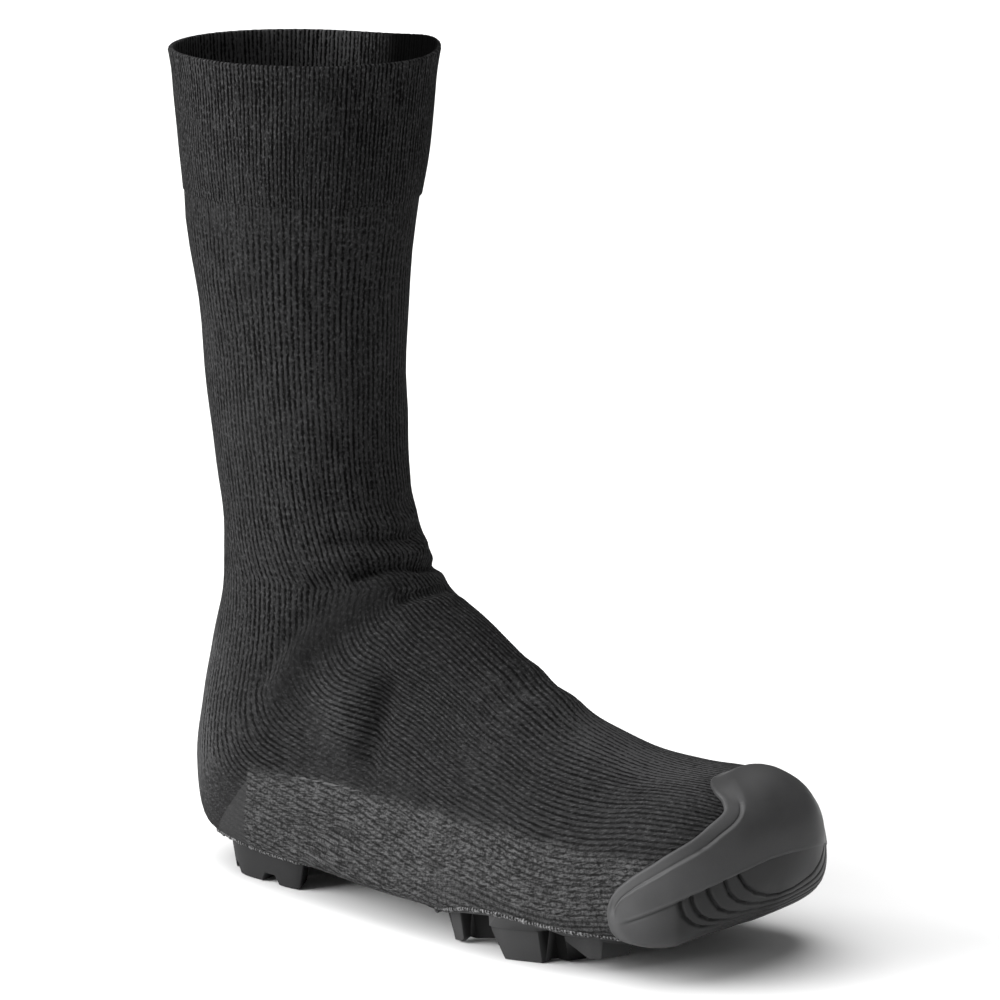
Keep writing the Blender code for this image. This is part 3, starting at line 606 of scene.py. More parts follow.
class KnitSettings(bpy.types.PropertyGroup):
    """Sizes and colours of the knit."""

    ribs: IntProperty(name="Ribs", description="Ribs round the sock", default=108)
    cuff_ribs: IntProperty(name="Cuff ribs", description="Finer ribs round the cuff", default=180)
    rib_depth: FloatProperty(
        name="Rib depth", description="Half height of a rib", default=0.00010, unit="LENGTH", precision=5
    )
    cuff_rib_depth: FloatProperty(
        name="Cuff rib depth", description="Half height of a cuff rib", default=0.00006, unit="LENGTH",
        precision=5,
    )
    crest: FloatVectorProperty(
        name="Rib crest", description="Yarn on the ribs", subtype="COLOR", default=(0.0505, 0.0505, 0.0515)
    )
    # Darker than the crests partly as the yarn's own colour and partly as painted shade in the troughs
    trough: FloatVectorProperty(
        name="Rib trough", description="Yarn between the ribs", subtype="COLOR",
        default=(0.0025, 0.0025, 0.0025),
    )
    band_light: FloatVectorProperty(
        name="Foot band, light", description="Light yarn of the lower band", subtype="COLOR",
        default=(0.083, 0.083, 0.084),
    )
    band_dark: FloatVectorProperty(
        name="Foot band, dark", description="Dark yarn of the lower band", subtype="COLOR",
        default=(0.007, 0.007, 0.007),
    )
    hem_radius: FloatProperty(
        name="Hem radius", description="Radius of the rolled hem", default=0.0009, unit="LENGTH", precision=4
    )


class CapSettings(bpy.types.PropertyGroup):
    """Sizes and colour of the toe cap."""

    lip_height: FloatProperty(
        name="Lip", description="Height of the lip over the knit", default=0.0015, unit="LENGTH", precision=4
    )
    lip_width: FloatProperty(
        name="Lip width", description="Border to the step", default=0.0054, unit="LENGTH", precision=4
    )
    body_height: FloatProperty(
        name="Body", description="Height of the body over the knit", default=0.0031, unit="LENGTH",
        precision=4,
    )
    groove_depth: FloatProperty(
        name="Groove depth", description="Depth of the grip grooves", default=0.0017, unit="LENGTH",
        precision=4,
    )
    colour: FloatVectorProperty(
        name="Rubber", description="Colour of the cap's rubber", subtype="COLOR",
        default=(0.0605, 0.0605, 0.0615),
    )


class SoleSettings(bpy.types.PropertyGroup):
    """Colours and edges of the sole."""

    edge: FloatProperty(
        name="Edge round", description="Round of the treads' edges", default=0.0006, unit="LENGTH",
        precision=4,
    )
    tread: FloatVectorProperty(
        name="Tread", description="Colour of the forefoot's rubber", subtype="COLOR",
        default=(0.0425, 0.0425, 0.043),
    )
    # A darker copy of the tread rubber, as painted shade on the heel
    heel: FloatVectorProperty(
        name="Heel", description="Colour of the heel's rubber", subtype="COLOR",
        default=(0.0235, 0.0235, 0.024),
    )
    plate: FloatVectorProperty(
        name="Plate", description="Colour of the sole plate", subtype="COLOR", default=(0.016, 0.016, 0.017)
    )


class StageSettings(bpy.types.PropertyGroup):
    """Camera and floor."""

    lens: FloatProperty(name="Lens", description="Focal length", default=187.2, unit="CAMERA")
    yaw: FloatProperty(
        name="Yaw", description="Camera's turn from +Y", default=math.radians(39.83), subtype="ANGLE"
    )
    pitch: FloatProperty(
        name="Pitch", description="Camera's dip", default=math.radians(13.30), subtype="ANGLE"
    )
    floor: FloatVectorProperty(
        name="Floor", description="Floor colour", subtype="COLOR", default=(0.88, 0.88, 0.88)
    )


def smooth_column(values, t):
    """One table column at the places t: a Catmull-Rom curve, cubic between rows, slopes from neighbours."""
    rows = np.asarray(values, float)
    slopes = np.gradient(rows)
    index = np.clip(np.floor(t).astype(int), 0, len(rows) - 2)
    f = t - index
    return (
        (2 * f**3 - 3 * f**2 + 1) * rows[index]
        + (f**3 - 2 * f**2 + f) * slopes[index]
        + (3 * f**2 - 2 * f**3) * rows[index + 1]
        + (f**3 - f**2) * slopes[index + 1]
    )


def section_values(t):
    """Section columns at the places t; past the last row a superellipse dome shrinks and carries them on."""
    t = np.atleast_1d(np.asarray(t, float))
    on_last = np.minimum(t, LAST_T)
    value = {
        name: smooth_column([getattr(row, name) for row in SECTIONS], on_last)
        for name in Section._fields[1:]
    }
    turn = np.clip(t - LAST_T, 0, 1) * math.pi / 2
    share = np.clip(np.cos(turn), 0, 1) ** (2 / DOME_POWER)
    value["half_x"] = (value["front_x"] - value["back_x"]) / 2 * share
    value["half_z"] = (value["front_z"] - value["back_z"]) / 2 * share
    middle_x = (value["front_x"] + value["back_x"]) / 2
    middle_z = (value["front_z"] + value["back_z"]) / 2
    value["middle_x"] = middle_x + DOME_LENGTH * np.sin(turn) ** (2 / DOME_POWER)
    value["middle_z"] = middle_z + (TIP_Z - middle_z) * np.sin(turn)
    value["centre_y"] = value["centre_y"] + (TIP_Y - value["centre_y"]) * np.sin(turn)
    value["half_width"] = value["half_width"] * share
    return value


def outlines(t):
    """Closed outlines at the places t: superellipses from the sole's middle by the inner side and the top."""
    value = {name: column[:, None] for name, column in section_values(t).items()}
    angle = np.linspace(0, 2 * math.pi, OUTLINE_POINTS + 1)[None, :]
    up, across = -np.cos(angle), np.sin(angle)
    power = 2 / np.where(up > 0, value["top_power"], value["sole_power"])
    up = np.sign(up) * np.abs(up) ** power
    across = np.sign(across) * np.abs(across) ** power
    tuck = np.where(across > 0, value["tuck"] * (1 - up) / 2, 0)
    x = value["middle_x"] + value["half_x"] * up
    y = value["centre_y"] + value["half_width"] * across * (1 - value["egg"] * up) * (1 - tuck)
    z = value["middle_z"] + value["half_z"] * up
    return np.stack([x, y, z], axis=-1)


def girth_shares(curves):
    """Each outline point's share of its outline's length."""
    step = np.linalg.norm(np.diff(curves, axis=1), axis=-1)
    run = np.concatenate([np.zeros((len(curves), 1)), np.cumsum(step, axis=1)], axis=1)
    return run / np.maximum(run[:, -1:], 1e-9)


def read_rows(at, places, values):
    """Row by row linear reading: each row's places are lifted clear of the last, so one reading does all."""
    span = float(places.max() - places.min()) + 10.0
    lift = span * np.arange(len(places))[:, None]
    clipped = np.clip(at, places[:, :1], places[:, -1:])
    return np.interp((clipped + lift).ravel(), (places + lift).ravel(), values.ravel()).reshape(at.shape)


def surface_table():
    """The sock's outer surface on an even grid of place and girth share."""
    curves = outlines(np.linspace(0, TIP_T, TABLE_ROWS))
    around = girth_shares(curves)
    share = np.broadcast_to(np.linspace(0, 1, TABLE_COLUMNS), (TABLE_ROWS, TABLE_COLUMNS))
    return np.stack([read_rows(share, around, curves[..., axis]) for axis in range(3)], axis=-1)


SURFACE = surface_table()


def sock_points(t, share):
    """Points of the sock at arrays of place and girth share, read between the table's four nearest points."""
    t, share = np.broadcast_arrays(np.asarray(t, float), np.asarray(share, float))
    row = np.clip(t / TIP_T, 0, 1) * (TABLE_ROWS - 1)
    column = np.mod(share, 1.0) * (TABLE_COLUMNS - 1)
    low_row = np.minimum(row.astype(int), TABLE_ROWS - 2)
    low_column = np.minimum(column.astype(int), TABLE_COLUMNS - 2)
    f, g = (row - low_row)[..., None], (column - low_column)[..., None]
    near = SURFACE[low_row, low_column] * (1 - g) + SURFACE[low_row, low_column + 1] * g
    far = SURFACE[low_row + 1, low_column] * (1 - g) + SURFACE[low_row + 1, low_column + 1] * g
    return near * (1 - f) + far * f


def sock_normals(t, share):
    """Outward unit normals: the cross of the girth's direction with the length's."""
    t = np.minimum(np.asarray(t, float), TIP_T - NORMAL_TIP_T)
    along = sock_points(t + NORMAL_STEP_T, share) - sock_points(np.maximum(t - NORMAL_STEP_T, 0), share)
    around = sock_points(t, share + NORMAL_STEP_SHARE) - sock_points(t, share - NORMAL_STEP_SHARE)
    normal = np.cross(around, along)
    return normal / np.maximum(np.linalg.norm(normal, axis=-1, keepdims=True), 1e-9)


def smoothstep(value, low, high):
    """0 below low, 1 above high, and a cubic ease between."""
    f = np.clip((value - low) / (high - low), 0, 1)
    return f * f * (3 - 2 * f)


def bell(distance, breadth, spread=1.0):
    """A bell over distance: e to the minus square of distance over breadth, the square divided by spread."""
    return np.exp(-((distance / breadth) ** 2) / spread)


def run_lengths(points):
    """Length run along a line of points, or along each column of a grid of them, from its first row."""
    return np.cumsum(np.linalg.norm(np.diff(points, axis=0, prepend=points[:1]), axis=-1), axis=0)


def line_distance(points, line):
    """Distance of each point from a line of points, the least over its segments."""
    line = np.asarray(line, float)
    if len(line) == 1:
        return np.linalg.norm(points - line[0], axis=-1)
    nearest = np.full(points.shape[:-1], np.inf)
    for start, end in zip(line[:-1], line[1:]):
        run = end - start
        share = np.clip((points - start) @ run / (run @ run), 0, 1)
        nearest = np.minimum(nearest, np.linalg.norm(points - start - share[..., None] * run, axis=-1))
    return nearest


def sole_x(t):
    """The x of the sole point at the places t."""
    value = section_values(t)
    return value["middle_x"] - value["half_x"]


def place_of_sole_x(x):
    """The place whose sole point lies at x, from the heel forward."""
    t = np.linspace(STATION["counter"], TIP_T, SOLE_READINGS)
    return np.interp(x, sole_x(t), t)


def opening_span(opening):
    """Middle and half length of an opening along the foot."""
    return (opening.start_x + opening.end_x) / 2, (opening.end_x - opening.start_x) / 2


def opening_share(opening, x):
    """Share of the opening's full half width at x: a superellipse over its length."""
    middle, half = opening_span(opening)
    place = np.clip(np.abs(x - middle) / half, 0, 1)
    return (1 - place**opening.end_power) ** (1 / opening.end_power)


def hem_shares(t):
    """Girth shares of the inner and outer hem at the places t; 0 and 1 where the underside is closed."""
    t = np.atleast_1d(np.asarray(t, float))
    x = sole_x(t)
    curves = outlines(t)
    around = girth_shares(curves)
    reach = np.abs(curves[..., 1] - section_values(t)["centre_y"][:, None])
    full = reach.max(axis=1)
    hem = np.zeros_like(x)
    for opening in OPENINGS:
        inside = (t >= STATION["counter"]) & (x > opening.start_x) & (x < opening.end_x)
        hem = np.where(inside, (full - opening.hem_inset) * opening_share(opening, x), hem)
    quarter = OUTLINE_POINTS // 4
    inner = read_rows(hem[:, None], reach[:, :quarter], around[:, :quarter])[:, 0]
    outer = read_rows(hem[:, None], reach[:, ::-1][:, :quarter], (1 - around)[:, ::-1][:, :quarter])[:, 0]
    girth = np.linalg.norm(np.diff(curves, axis=1), axis=-1).sum(axis=1)
    rise = np.where(hem > 0, np.interp(x, *zip(*HEM_RISE)), 0.0) / np.maximum(girth, 1.0)
    return inner + rise, 1 - outer - rise


def gather(t):
    """For closed rows beside an opening: its end's hem shares, and how strongly columns gather to them."""
    x = sole_x(t)
    inner, outer, pull = np.zeros_like(x), np.ones_like(x), np.zeros_like(x)
    for opening in OPENINGS:
        middle, half = opening_span(opening)
        beyond = np.abs(x - middle) - half
        beside = (t >= STATION["counter"]) & (beyond >= 0) & (beyond < GATHER_LENGTH)
        end_x = middle + np.sign(x - middle) * half * OPENING_END
        end_inner, end_outer = hem_shares(place_of_sole_x(end_x))
        inner = np.where(beside, end_inner, inner)
        outer = np.where(beside, end_outer, outer)
        pull = np.where(beside, 1 - beyond / GATHER_LENGTH, pull)
    return inner, outer, pull


def sock_row_places():
    """Places of the sock's rows: even steps between sections, and closer rows at the openings' ends."""
    even = [np.array([SOCK_TOP_T])]
    even += [index + 1 + np.arange(steps) / steps for index, steps in enumerate(SOCK_STEPS)]
    even = np.concatenate(even)
    fixed = []
    for opening in OPENINGS:
        middle, half = opening_span(opening)
        ends = np.concatenate([-OPENING_ROW_PLACES[::-1], OPENING_ROW_PLACES])
        fixed.append(place_of_sole_x(middle + ends * half))
    fixed = np.concatenate(fixed)
    apart = np.abs(even[:, None] - fixed[None, :]).min(axis=1)
    return np.sort(np.concatenate([even[apart > ROW_SPACE_T], fixed]))


def rib_table(t):
    """Rib numbers as shares, on rows at t over even girth shares, and how far each place is of the foot.

    Ribs run straight down the shaft, at a fixed share of its depth, and straight along the foot, at a
    fixed share of its height that turns near the top to a share of the section. The lesser of the two
    holds, with a soft turn between, so they meet on a slant from the instep's bend to the heel's corner.
    """
    share = np.broadcast_to(np.linspace(0, 1, TABLE_COLUMNS), (len(t), TABLE_COLUMNS))
    place = np.linspace(0, TIP_T, TABLE_ROWS)
    front, back = SURFACE[:, TABLE_COLUMNS // 2], SURFACE[:, 0]
    base = sock_points(t[:, None], share)
    x, z = base[..., 0], base[..., 2]
    up = place <= RIB_BEND_T
    heel = place <= STATION["heel"]
    front_x = np.interp(z, front[up, 2][::-1], front[up, 0][::-1])
    back_x = np.interp(z, back[heel, 2][::-1], back[heel, 0][::-1])
    top_z = np.interp(x, front[~up, 0], front[~up, 2])
    sole_z = np.interp(x, back[~heel, 0], back[~heel, 2])
    down = (x - back_x) / (front_x - back_x)
    ahead = (z - sole_z) / np.maximum(top_z - sole_z, 1e-3)
    start, end = base[:, :1], base[:, TABLE_COLUMNS // 2][:, None]
    run = (end - start) * [1, 0, 1]
    across = np.clip(((base - start) * run).sum(axis=-1) / (run * run).sum(axis=-1), 0, 1)
    ahead += (across - ahead) * RIB_CROWN * smoothstep(ahead, *RIB_CROWN_SHARES)
    soft = RIB_TURN * across * (1 - across) + 1e-3
    lean = np.clip(0.5 + 0.5 * (ahead - down) / soft, 0, 1)
    met = np.clip(ahead * (1 - lean) + down * lean - soft * lean * (1 - lean), 0, 1)
    shift = (np.arccos(1 - 2 * met) - np.arccos(1 - 2 * across)) / (2 * math.pi)
    shift *= 1 - smoothstep(x, *RIB_FADE_X)
    numbers = np.maximum.accumulate(np.where(share <= 0.5, share + shift, share - shift), axis=1)
    return numbers + np.linspace(0, 1e-6, TABLE_COLUMNS), 1 - lean


def sock_shares(t, ribs):
    """The sock's columns for rows at t, as girth shares, rib numbers and how far each is of the foot."""
    even = np.broadcast_to(np.linspace(0, 1, TABLE_COLUMNS), (len(t), TABLE_COLUMNS)).copy()
    numbers, foot = rib_table(t)
    edge = EDGE_RIBS / ribs
    top = np.linspace(edge, 1 - edge, (ribs - 2 * EDGE_RIBS) * TOP_COLUMNS_PER_RIB + 1)
    top = read_rows(np.broadcast_to(top, (len(t), len(top))), numbers, even)
    count = EDGE_RIBS * SOLE_COLUMNS_PER_RIB
    step = np.linspace(0, 1, count + 1)[None, :]
    inner, outer = (column[:, None] for column in hem_shares(t))
    inner_ribs = read_rows(step * edge + 0 * inner, numbers, even)
    outer_ribs = read_rows(1 - step * edge + 0 * inner, numbers, even)
    inner_end, outer_end, pull = (column[:, None] for column in gather(t))
    rest = np.concatenate([[0.0], np.linspace(0, 1, count)])[None, :]
    sides = []
    for hem, end, rim, free, shut in ((inner, inner_end, top[:, :1], inner_ribs, 0.0),
                                      (outer, outer_end, top[:, -1:], outer_ribs, 1.0)):
        gathered = free + pull * (end + (rim - end) * rest - free)
        gathered[:, 0] = shut
        sides.append(np.where(hem == shut, gathered, hem + (rim - hem) * step))
    share = np.concatenate([sides[0], top[:, 1:], sides[1][:, ::-1][:, 1:]], axis=1)
    return share, read_rows(share, even, numbers), read_rows(share, even, foot)


def rib_strength(points):
    """How strongly ribs stand out at points of the sock: less in the calm zones and at the heel's foot."""
    x, z = points[..., 0], points[..., 2]
    strength = 1 - HEEL_CALM * (1 - smoothstep(x, *HEEL_CALM_X)) * (1 - smoothstep(z, *HEEL_CALM_Z))
    for calm in CALM_ZONES:
        strength *= 1 - calm.share * bell(line_distance(points, calm.points), calm.breadth)
    return strength


def painted_knit_tone(points):
    """Painted light and shade on the sock: one and each zone's gain times a bell of distance, multiplied.

    It also falls a little up the shaft.
    """
    tone = 1 - SHAFT_TOP_DARK * smoothstep(points[..., 2], *SHAFT_TOP_Z)
    for zone in PAINTED_LIGHT_ZONES:
        tone *= 1 + zone.gain * bell(line_distance(points, zone.points), zone.breadth, 2)
    return tone


def fold_height(points):
    """Height of the folds at points of the sock: each fold's height times a bell of distance from it."""
    height = np.zeros(points.shape[:-1])
    for fold in FOLDS:
        height += fold.height * bell(line_distance(points, fold.points), fold.breadth, 2)
    return height


def slack_height(points):
    """Soft unevenness of worn knit: a sum of long sine waves over the three directions."""
    height = np.zeros(points.shape[:-1])
    for wave, turns, phase in SLACK_WAVES:
        height += wave * np.sin(points @ np.array(turns) + phase)
    return height


def rib_profile(phase):
    """A rib's height over its phase: a broad crest and a narrower trough."""
    wave = np.cos(2 * math.pi * phase)
    return wave + RIB_BROAD * (1 - wave**2)


def sock_height(base, rib, foot, strength, settings):
    """Height of the sock over the last: ribs, folds and slack added, less the tuck under the cuff.

    The ribs are cosines of the rib number with a broad crest, and fade toward the foot and the cuff.
    """
    x, z = base[..., 0], base[..., 2]
    depth = settings.rib_depth / MM * strength * (1 - smoothstep(foot, *RIB_FOOT_SHARES))
    depth *= smoothstep(CUFF_HEM_Z - z, 0.0, HEM_BLEND)
    drift = RIB_UNEVEN_Z * z + RIB_UNEVEN_X * x + RIB_SHIFT * np.sin(RIB_SHIFT_TURNS * rib)
    uneven = 1 + RIB_UNEVEN * np.sin(drift)
    height = depth * uneven * rib_profile(rib * settings.ribs) + fold_height(base)
    height += slack_height(base) * smoothstep(z, *SLACK_Z) * (1 - smoothstep(x, *SLACK_X))
    return height - CUFF_TUCK * smoothstep(z - CUFF_HEM_Z, *CUFF_TUCK_Z)


def to_frame(points):
    """Points of the last in millimetres as points of the part's frame in metres."""
    return (np.asarray(points, float) + HEEL_DATUM) * MM


def frame_x(x):
    """An x of the last in millimetres as an x of the part's frame in metres."""
    return (x + HEEL_DATUM[0]) * MM


def grid_quads(rows, columns, ring=False, flip=False):
    """Corner indices of a grid's quads, stored row by row; a ring's last column joins its first."""
    last = columns if ring else columns - 1
    row, column = np.meshgrid(np.arange(rows - 1), np.arange(last), indexing="ij")
    after = (column + 1) % columns
    here, ahead = row * columns, (row + 1) * columns
    quads = np.stack([here + column, here + after, ahead + after, ahead + column], axis=-1).reshape(-1, 4)
    return quads[:, ::-1] if flip else quads


def new_piece(name, points, quads, material, node, uv=None, marks=None, smooth_angle=180.0):
    """A mesh object from points of the last: like points are welded, and quads that lose a side get three."""
    placed = to_frame(points).reshape(-1, 3)
    _, first, weld = np.unique(np.round(placed, 7), axis=0, return_index=True, return_inverse=True)
    weld = weld.reshape(-1)
    ids = weld[quads]
    lost = ids == np.roll(ids, -1, axis=1)
    corners = [quads[lost.sum(axis=1) == 0]]
    for side in range(4):
        corners.append(np.delete(quads[(lost.sum(axis=1) == 1) & lost[:, side]], side, axis=1))
    mesh = bpy.data.meshes.new(name)
    faces = [face for group in corners for face in weld[group].tolist()]
    mesh.from_pydata(placed[first].tolist(), [], faces)
    if uv is not None:
        layer = mesh.uv_layers.new(name="stitch_map")
        loops = np.concatenate([group.ravel() for group in corners])
        layer.data.foreach_set("uv", np.asarray(uv, np.float32).reshape(-1, 2)[loops].ravel())
    for mark, values in (marks or {}).items():
        values = values.ravel()[first].astype(np.float32)
        mesh.attributes.new(mark, "FLOAT", "POINT").data.foreach_set("value", values)
    mesh.materials.append(material)
    mesh.shade_smooth()
    if smooth_angle < 180.0:
        mesh.set_sharp_from_angle(angle=math.radians(smooth_angle))
    mesh.update()
    piece = bpy.data.objects.new(name, mesh)
    bpy.context.scene.collection.objects.link(piece)
    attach(piece, "root")
    if node:
        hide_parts(*node)
    return piece


def fill_sockets(tree, node, inputs):
    """Sets each input of a node to a value, or links it to a socket."""
    for key, value in inputs.items():
        if isinstance(value, bpy.types.NodeSocket):
            tree.links.new(value, node.inputs[key])
        else:
            node.inputs[key].default_value = value


def add_node(tree, kind, inputs=None, **settings):
    """A shader node with its settings, its socket values and its links."""
    made = tree.nodes.new(kind)
    for name, value in settings.items():
        setattr(made, name, value)
    fill_sockets(tree, made, inputs or {})
    return made


def maths(tree, operation, *values):
    """The result of one Math node."""
    inputs = dict(enumerate(values))
    return add_node(tree, "ShaderNodeMath", inputs, operation=operation).outputs[0]


def ramp(tree, value, low, high, start=0.0, end=1.0, ease="SMOOTHSTEP"):
    """A value eased from low..high to start..end."""
    inputs = {"Value": value, "From Min": low, "From Max": high, "To Min": start, "To Max": end}
    return add_node(tree, "ShaderNodeMapRange", inputs, interpolation_type=ease, clamp=True).outputs["Result"]


def blend_colour(tree, factor, first, second):
    """Two colours mixed by a factor."""
    inputs = {0: factor, 6: first, 7: second}
    return add_node(tree, "ShaderNodeMix", inputs, data_type="RGBA").outputs[2]


def mark_value(tree, name):
    """A mark stored on the piece's points."""
    return add_node(tree, "ShaderNodeAttribute", attribute_name=name).outputs["Fac"]


def noise(tree, place, scale, detail, roughness=0.5):
    """Noise over a place in metres."""
    inputs = {"Vector": place, "Scale": scale, "Detail": detail, "Roughness": roughness}
    return add_node(tree, "ShaderNodeTexNoise", inputs).outputs["Fac"]


def flat_place(tree, x, y):
    """A place on a plane from two values."""
    return add_node(tree, "ShaderNodeCombineXYZ", {"X": x, "Y": y}).outputs[0]


def bump(tree, height, strength, distance):
    """A normal bumped by a height."""
    inputs = {"Height": height, "Strength": strength, "Distance": distance}
    return add_node(tree, "ShaderNodeBump", inputs).outputs["Normal"]


def new_material(name):
    """An empty node material and its Principled shader."""
    material = bpy.data.materials.new(name)
    material.use_nodes = True
    tree = material.node_tree
    return material, tree, tree.nodes["Principled BSDF"]


def scaled_colour(colour, gain=1.0):
    """A colour times a gain, with full opacity."""
    return tuple(gain * part for part in colour) + (1.0,)


def rib_wave(tree, rib_place, share):
    """A wave over the rib number: the cosine with a share of ribs to each shaft rib."""
    return maths(tree, "COSINE", maths(tree, "MULTIPLY", rib_place, 2 * math.pi * share))


def mix_values(tree, factor, first, second):
    """Two values mixed by a factor."""
    return add_node(tree, "ShaderNodeMix", {0: factor, 2: first, 3: second}).outputs[0]


KnitMap = namedtuple("KnitMap", "girth length place x z rib strength tone foot")


def knit_map(tree, ribs):
    """What a knit reads: its stitch map, the place on the part, the rib number, and the points' marks."""
    stitch_map = add_node(tree, "ShaderNodeUVMap", uv_map="stitch_map").outputs["UV"]
    apart = add_node(tree, "ShaderNodeSeparateXYZ", {"Vector": stitch_map}).outputs
    place = add_node(tree, "ShaderNodeTexCoord").outputs["Object"]
    placed = add_node(tree, "ShaderNodeSeparateXYZ", {"Vector": place}).outputs
    return KnitMap(
        girth=apart["X"],
        length=apart["Y"],
        place=place,
        x=placed["X"],
        z=placed["Z"],
        rib=maths(tree, "MULTIPLY", apart["X"], float(ribs)),
        strength=mark_value(tree, "rib_strength"),
        tone=mark_value(tree, "tone"),
        foot=ramp(tree, mark_value(tree, "foot"), *FOOT_SHARES),
    )


def yarn_noise(tree, knit, ribs, readings):
    """Flat noise over the stitch map, with its readings across each rib and per metre along it."""
    across, along = readings
    place = flat_place(tree, maths(tree, "MULTIPLY", knit.girth, across * ribs),
                       maths(tree, "MULTIPLY", knit.length, along))
    inputs = {"Vector": place, "Scale": 1.0, "Detail": YARN_DETAIL, "Roughness": YARN_ROUGHNESS}
    return add_node(tree, "ShaderNodeTexNoise", inputs, noise_dimensions="2D").outputs["Fac"]


def stitch_cells(tree, knit, ribs):
    """A random value for each stitch, from cells over the stitch map."""
    place = flat_place(tree, maths(tree, "MULTIPLY", knit.girth, STITCHES_PER_RIB * ribs),
                       maths(tree, "DIVIDE", knit.length, STITCH_LENGTH))
    inputs = {"Vector": place, "Scale": 1.0, "Randomness": STITCH_RANDOM}
    cells = add_node(tree, "ShaderNodeTexVoronoi", inputs, voronoi_dimensions="2D", feature="F1")
    return add_node(tree, "ShaderNodeSeparateColor", {"Color": cells.outputs["Color"]}).outputs["Red"]


def sock_waves(tree, knit, wave, settings):
    """The sock's even ribs and its band's: as on the shaft, as on the cuff by its hem, and on the foot."""
    hem = CUFF_HEM_Z * MM
    by_hem = ramp(tree, knit.z, hem - HEM_BLEND * MM, hem)
    hem_wave = rib_wave(tree, knit.rib, settings.cuff_ribs / settings.ribs)
    wave = mix_values(tree, by_hem, wave, maths(tree, "MULTIPLY", hem_wave, SOCK_YARN.wave))
    low, high = (frame_x(x) for x in FORE_RIB_X)
    fore = ramp(tree, knit.x, low, high)
    fore_wave = rib_wave(tree, knit.rib, FORE_RIBS)
    foot_wave = maths(tree, "MULTIPLY", rib_wave(tree, knit.rib, SIDE_RIBS), FOOT_WAVE)
    foot_wave = mix_values(tree, fore, foot_wave, maths(tree, "MULTIPLY", fore_wave, FORE_WAVE))
    band_wave = mix_values(tree, fore, rib_wave(tree, knit.rib, BAND_RIBS), fore_wave)
    return mix_values(tree, knit.foot, wave, foot_wave), band_wave


def yarn_trough(tree, knit, yarn, wave, streak, dash):
    """The dark troughs: low parts of the wave, broken by streaks and dashes, and deeper in patches."""
    dashes = mix_values(tree, knit.foot, yarn.dashes, FOOT_DASHES)
    uneven = maths(tree, "MULTIPLY", maths(tree, "SUBTRACT", dash, 0.5), dashes)
    uneven = maths(tree, "MULTIPLY_ADD", maths(tree, "SUBTRACT", streak, 0.5), yarn.streaks, uneven)
    low = ramp(tree, maths(tree, "ADD", wave, uneven), *TROUGH_WAVE)
    patch = ramp(tree, noise(tree, knit.place, *PATCH_NOISE), *PATCH_TROUGH)
    trough = maths(tree, "MULTIPLY", low, patch)
    trough = maths(tree, "MULTIPLY", trough, mix_values(tree, knit.foot, 1.0, FOOT_TROUGH))
    return mix_values(tree, knit.strength, CALM_TROUGH, trough)


def yarn_light(tree, knit, light, grain, crest, stitch, dash, mottle, fuzz):
    """Brightness of the yarn: mottled stitches and light dashes on crests, fuzz, and the tone mark's painted
    light and shade.
    """
    lit = maths(tree, "MULTIPLY_ADD", stitch, STITCH_LIGHT, light)
    lit = maths(tree, "MULTIPLY", lit, maths(tree, "MULTIPLY_ADD", mottle, *MOTTLE_LIGHT))
    dashed = maths(tree, "MULTIPLY", grain, DASH_LIGHT)
    lit = maths(tree, "MULTIPLY_ADD", ramp(tree, dash, *DASH_RANGE), dashed, lit)
    lit = maths(tree, "MULTIPLY", lit, crest)
    lit = maths(tree, "MULTIPLY_ADD", ramp(tree, fuzz, *FUZZ_LIGHT_RANGE), grain, lit)
    darker = maths(tree, "MULTIPLY", grain, FUZZ_DARK)
    lit = maths(tree, "MULTIPLY_ADD", ramp(tree, fuzz, *FUZZ_DARK_RANGE), darker, lit)
    tone = maths(tree, "MULTIPLY", knit.tone, mix_values(tree, knit.foot, 1.0, FOOT_TONE))
    return add_node(tree, "ShaderNodeClamp", {"Value": maths(tree, "MULTIPLY", lit, tone)}).outputs[0]


def knit_material(name, settings, ribs, banded, shade=1.0):
    """Ribbed knit: uneven crests and thin dark troughs by the rib number, with stitches, flecks and fuzz.

    The sock's is banded: its ribs change down the leg and foot, and its lower band lies over them. That of
    the cuff and the lining fades to black where its tone is low, as painted shade.
    """
    material, tree, shader = new_material(name)
    yarn = SOCK_YARN if banded else CUFF_YARN
    knit = knit_map(tree, ribs)
    streak = yarn_noise(tree, knit, ribs, STREAK_NOISE)
    dash = yarn_noise(tree, knit, ribs, DASH_NOISE)
    wave = maths(tree, "MULTIPLY", rib_wave(tree, knit.rib, 1.0), yarn.wave)
    if banded:
        wave, band_wave = sock_waves(tree, knit, wave, settings)
    crest = maths(tree, "SUBTRACT", 1.0, yarn_trough(tree, knit, yarn, wave, streak, dash))
    stitch = stitch_cells(tree, knit, ribs)
    mottle = noise(tree, knit.place, *MOTTLE_NOISE)
    fuzz = noise(tree, knit.place, *FUZZ_NOISE)
    grain = mix_values(tree, knit.foot, yarn.grain, FOOT_GRAIN)
    factor = yarn_light(tree, knit, yarn.light, grain, crest, stitch, dash, mottle, fuzz)
    colour = blend_colour(tree, factor, scaled_colour(settings.trough), scaled_colour(settings.crest, shade))
    if banded:
        band = band_colour(tree, settings, knit, band_wave, stitch, fuzz, mottle)
        colour = band_over(tree, settings, knit, mottle, stitch, colour, band)
    else:
        # Painted shade: the yarn fades to black where the painted tone is low
        colour = blend_colour(tree, ramp(tree, knit.tone, 0.0, LINING_PAINTED_BLACK_TONE), PAINTED_SHADE_BLACK, colour)
    crests = maths(tree, "MULTIPLY", crest, CREST_RELIEF)
    relief = maths(tree, "MULTIPLY_ADD", maths(tree, "MULTIPLY", fuzz, grain), FUZZ_RELIEF, crests)
    fill_sockets(tree, shader, {
        "Base Color": colour,
        "Roughness": KNIT_ROUGHNESS,
        "Specular IOR Level": yarn.gloss,
        "Normal": bump(tree, relief, *KNIT_BUMP),
    })
    return material


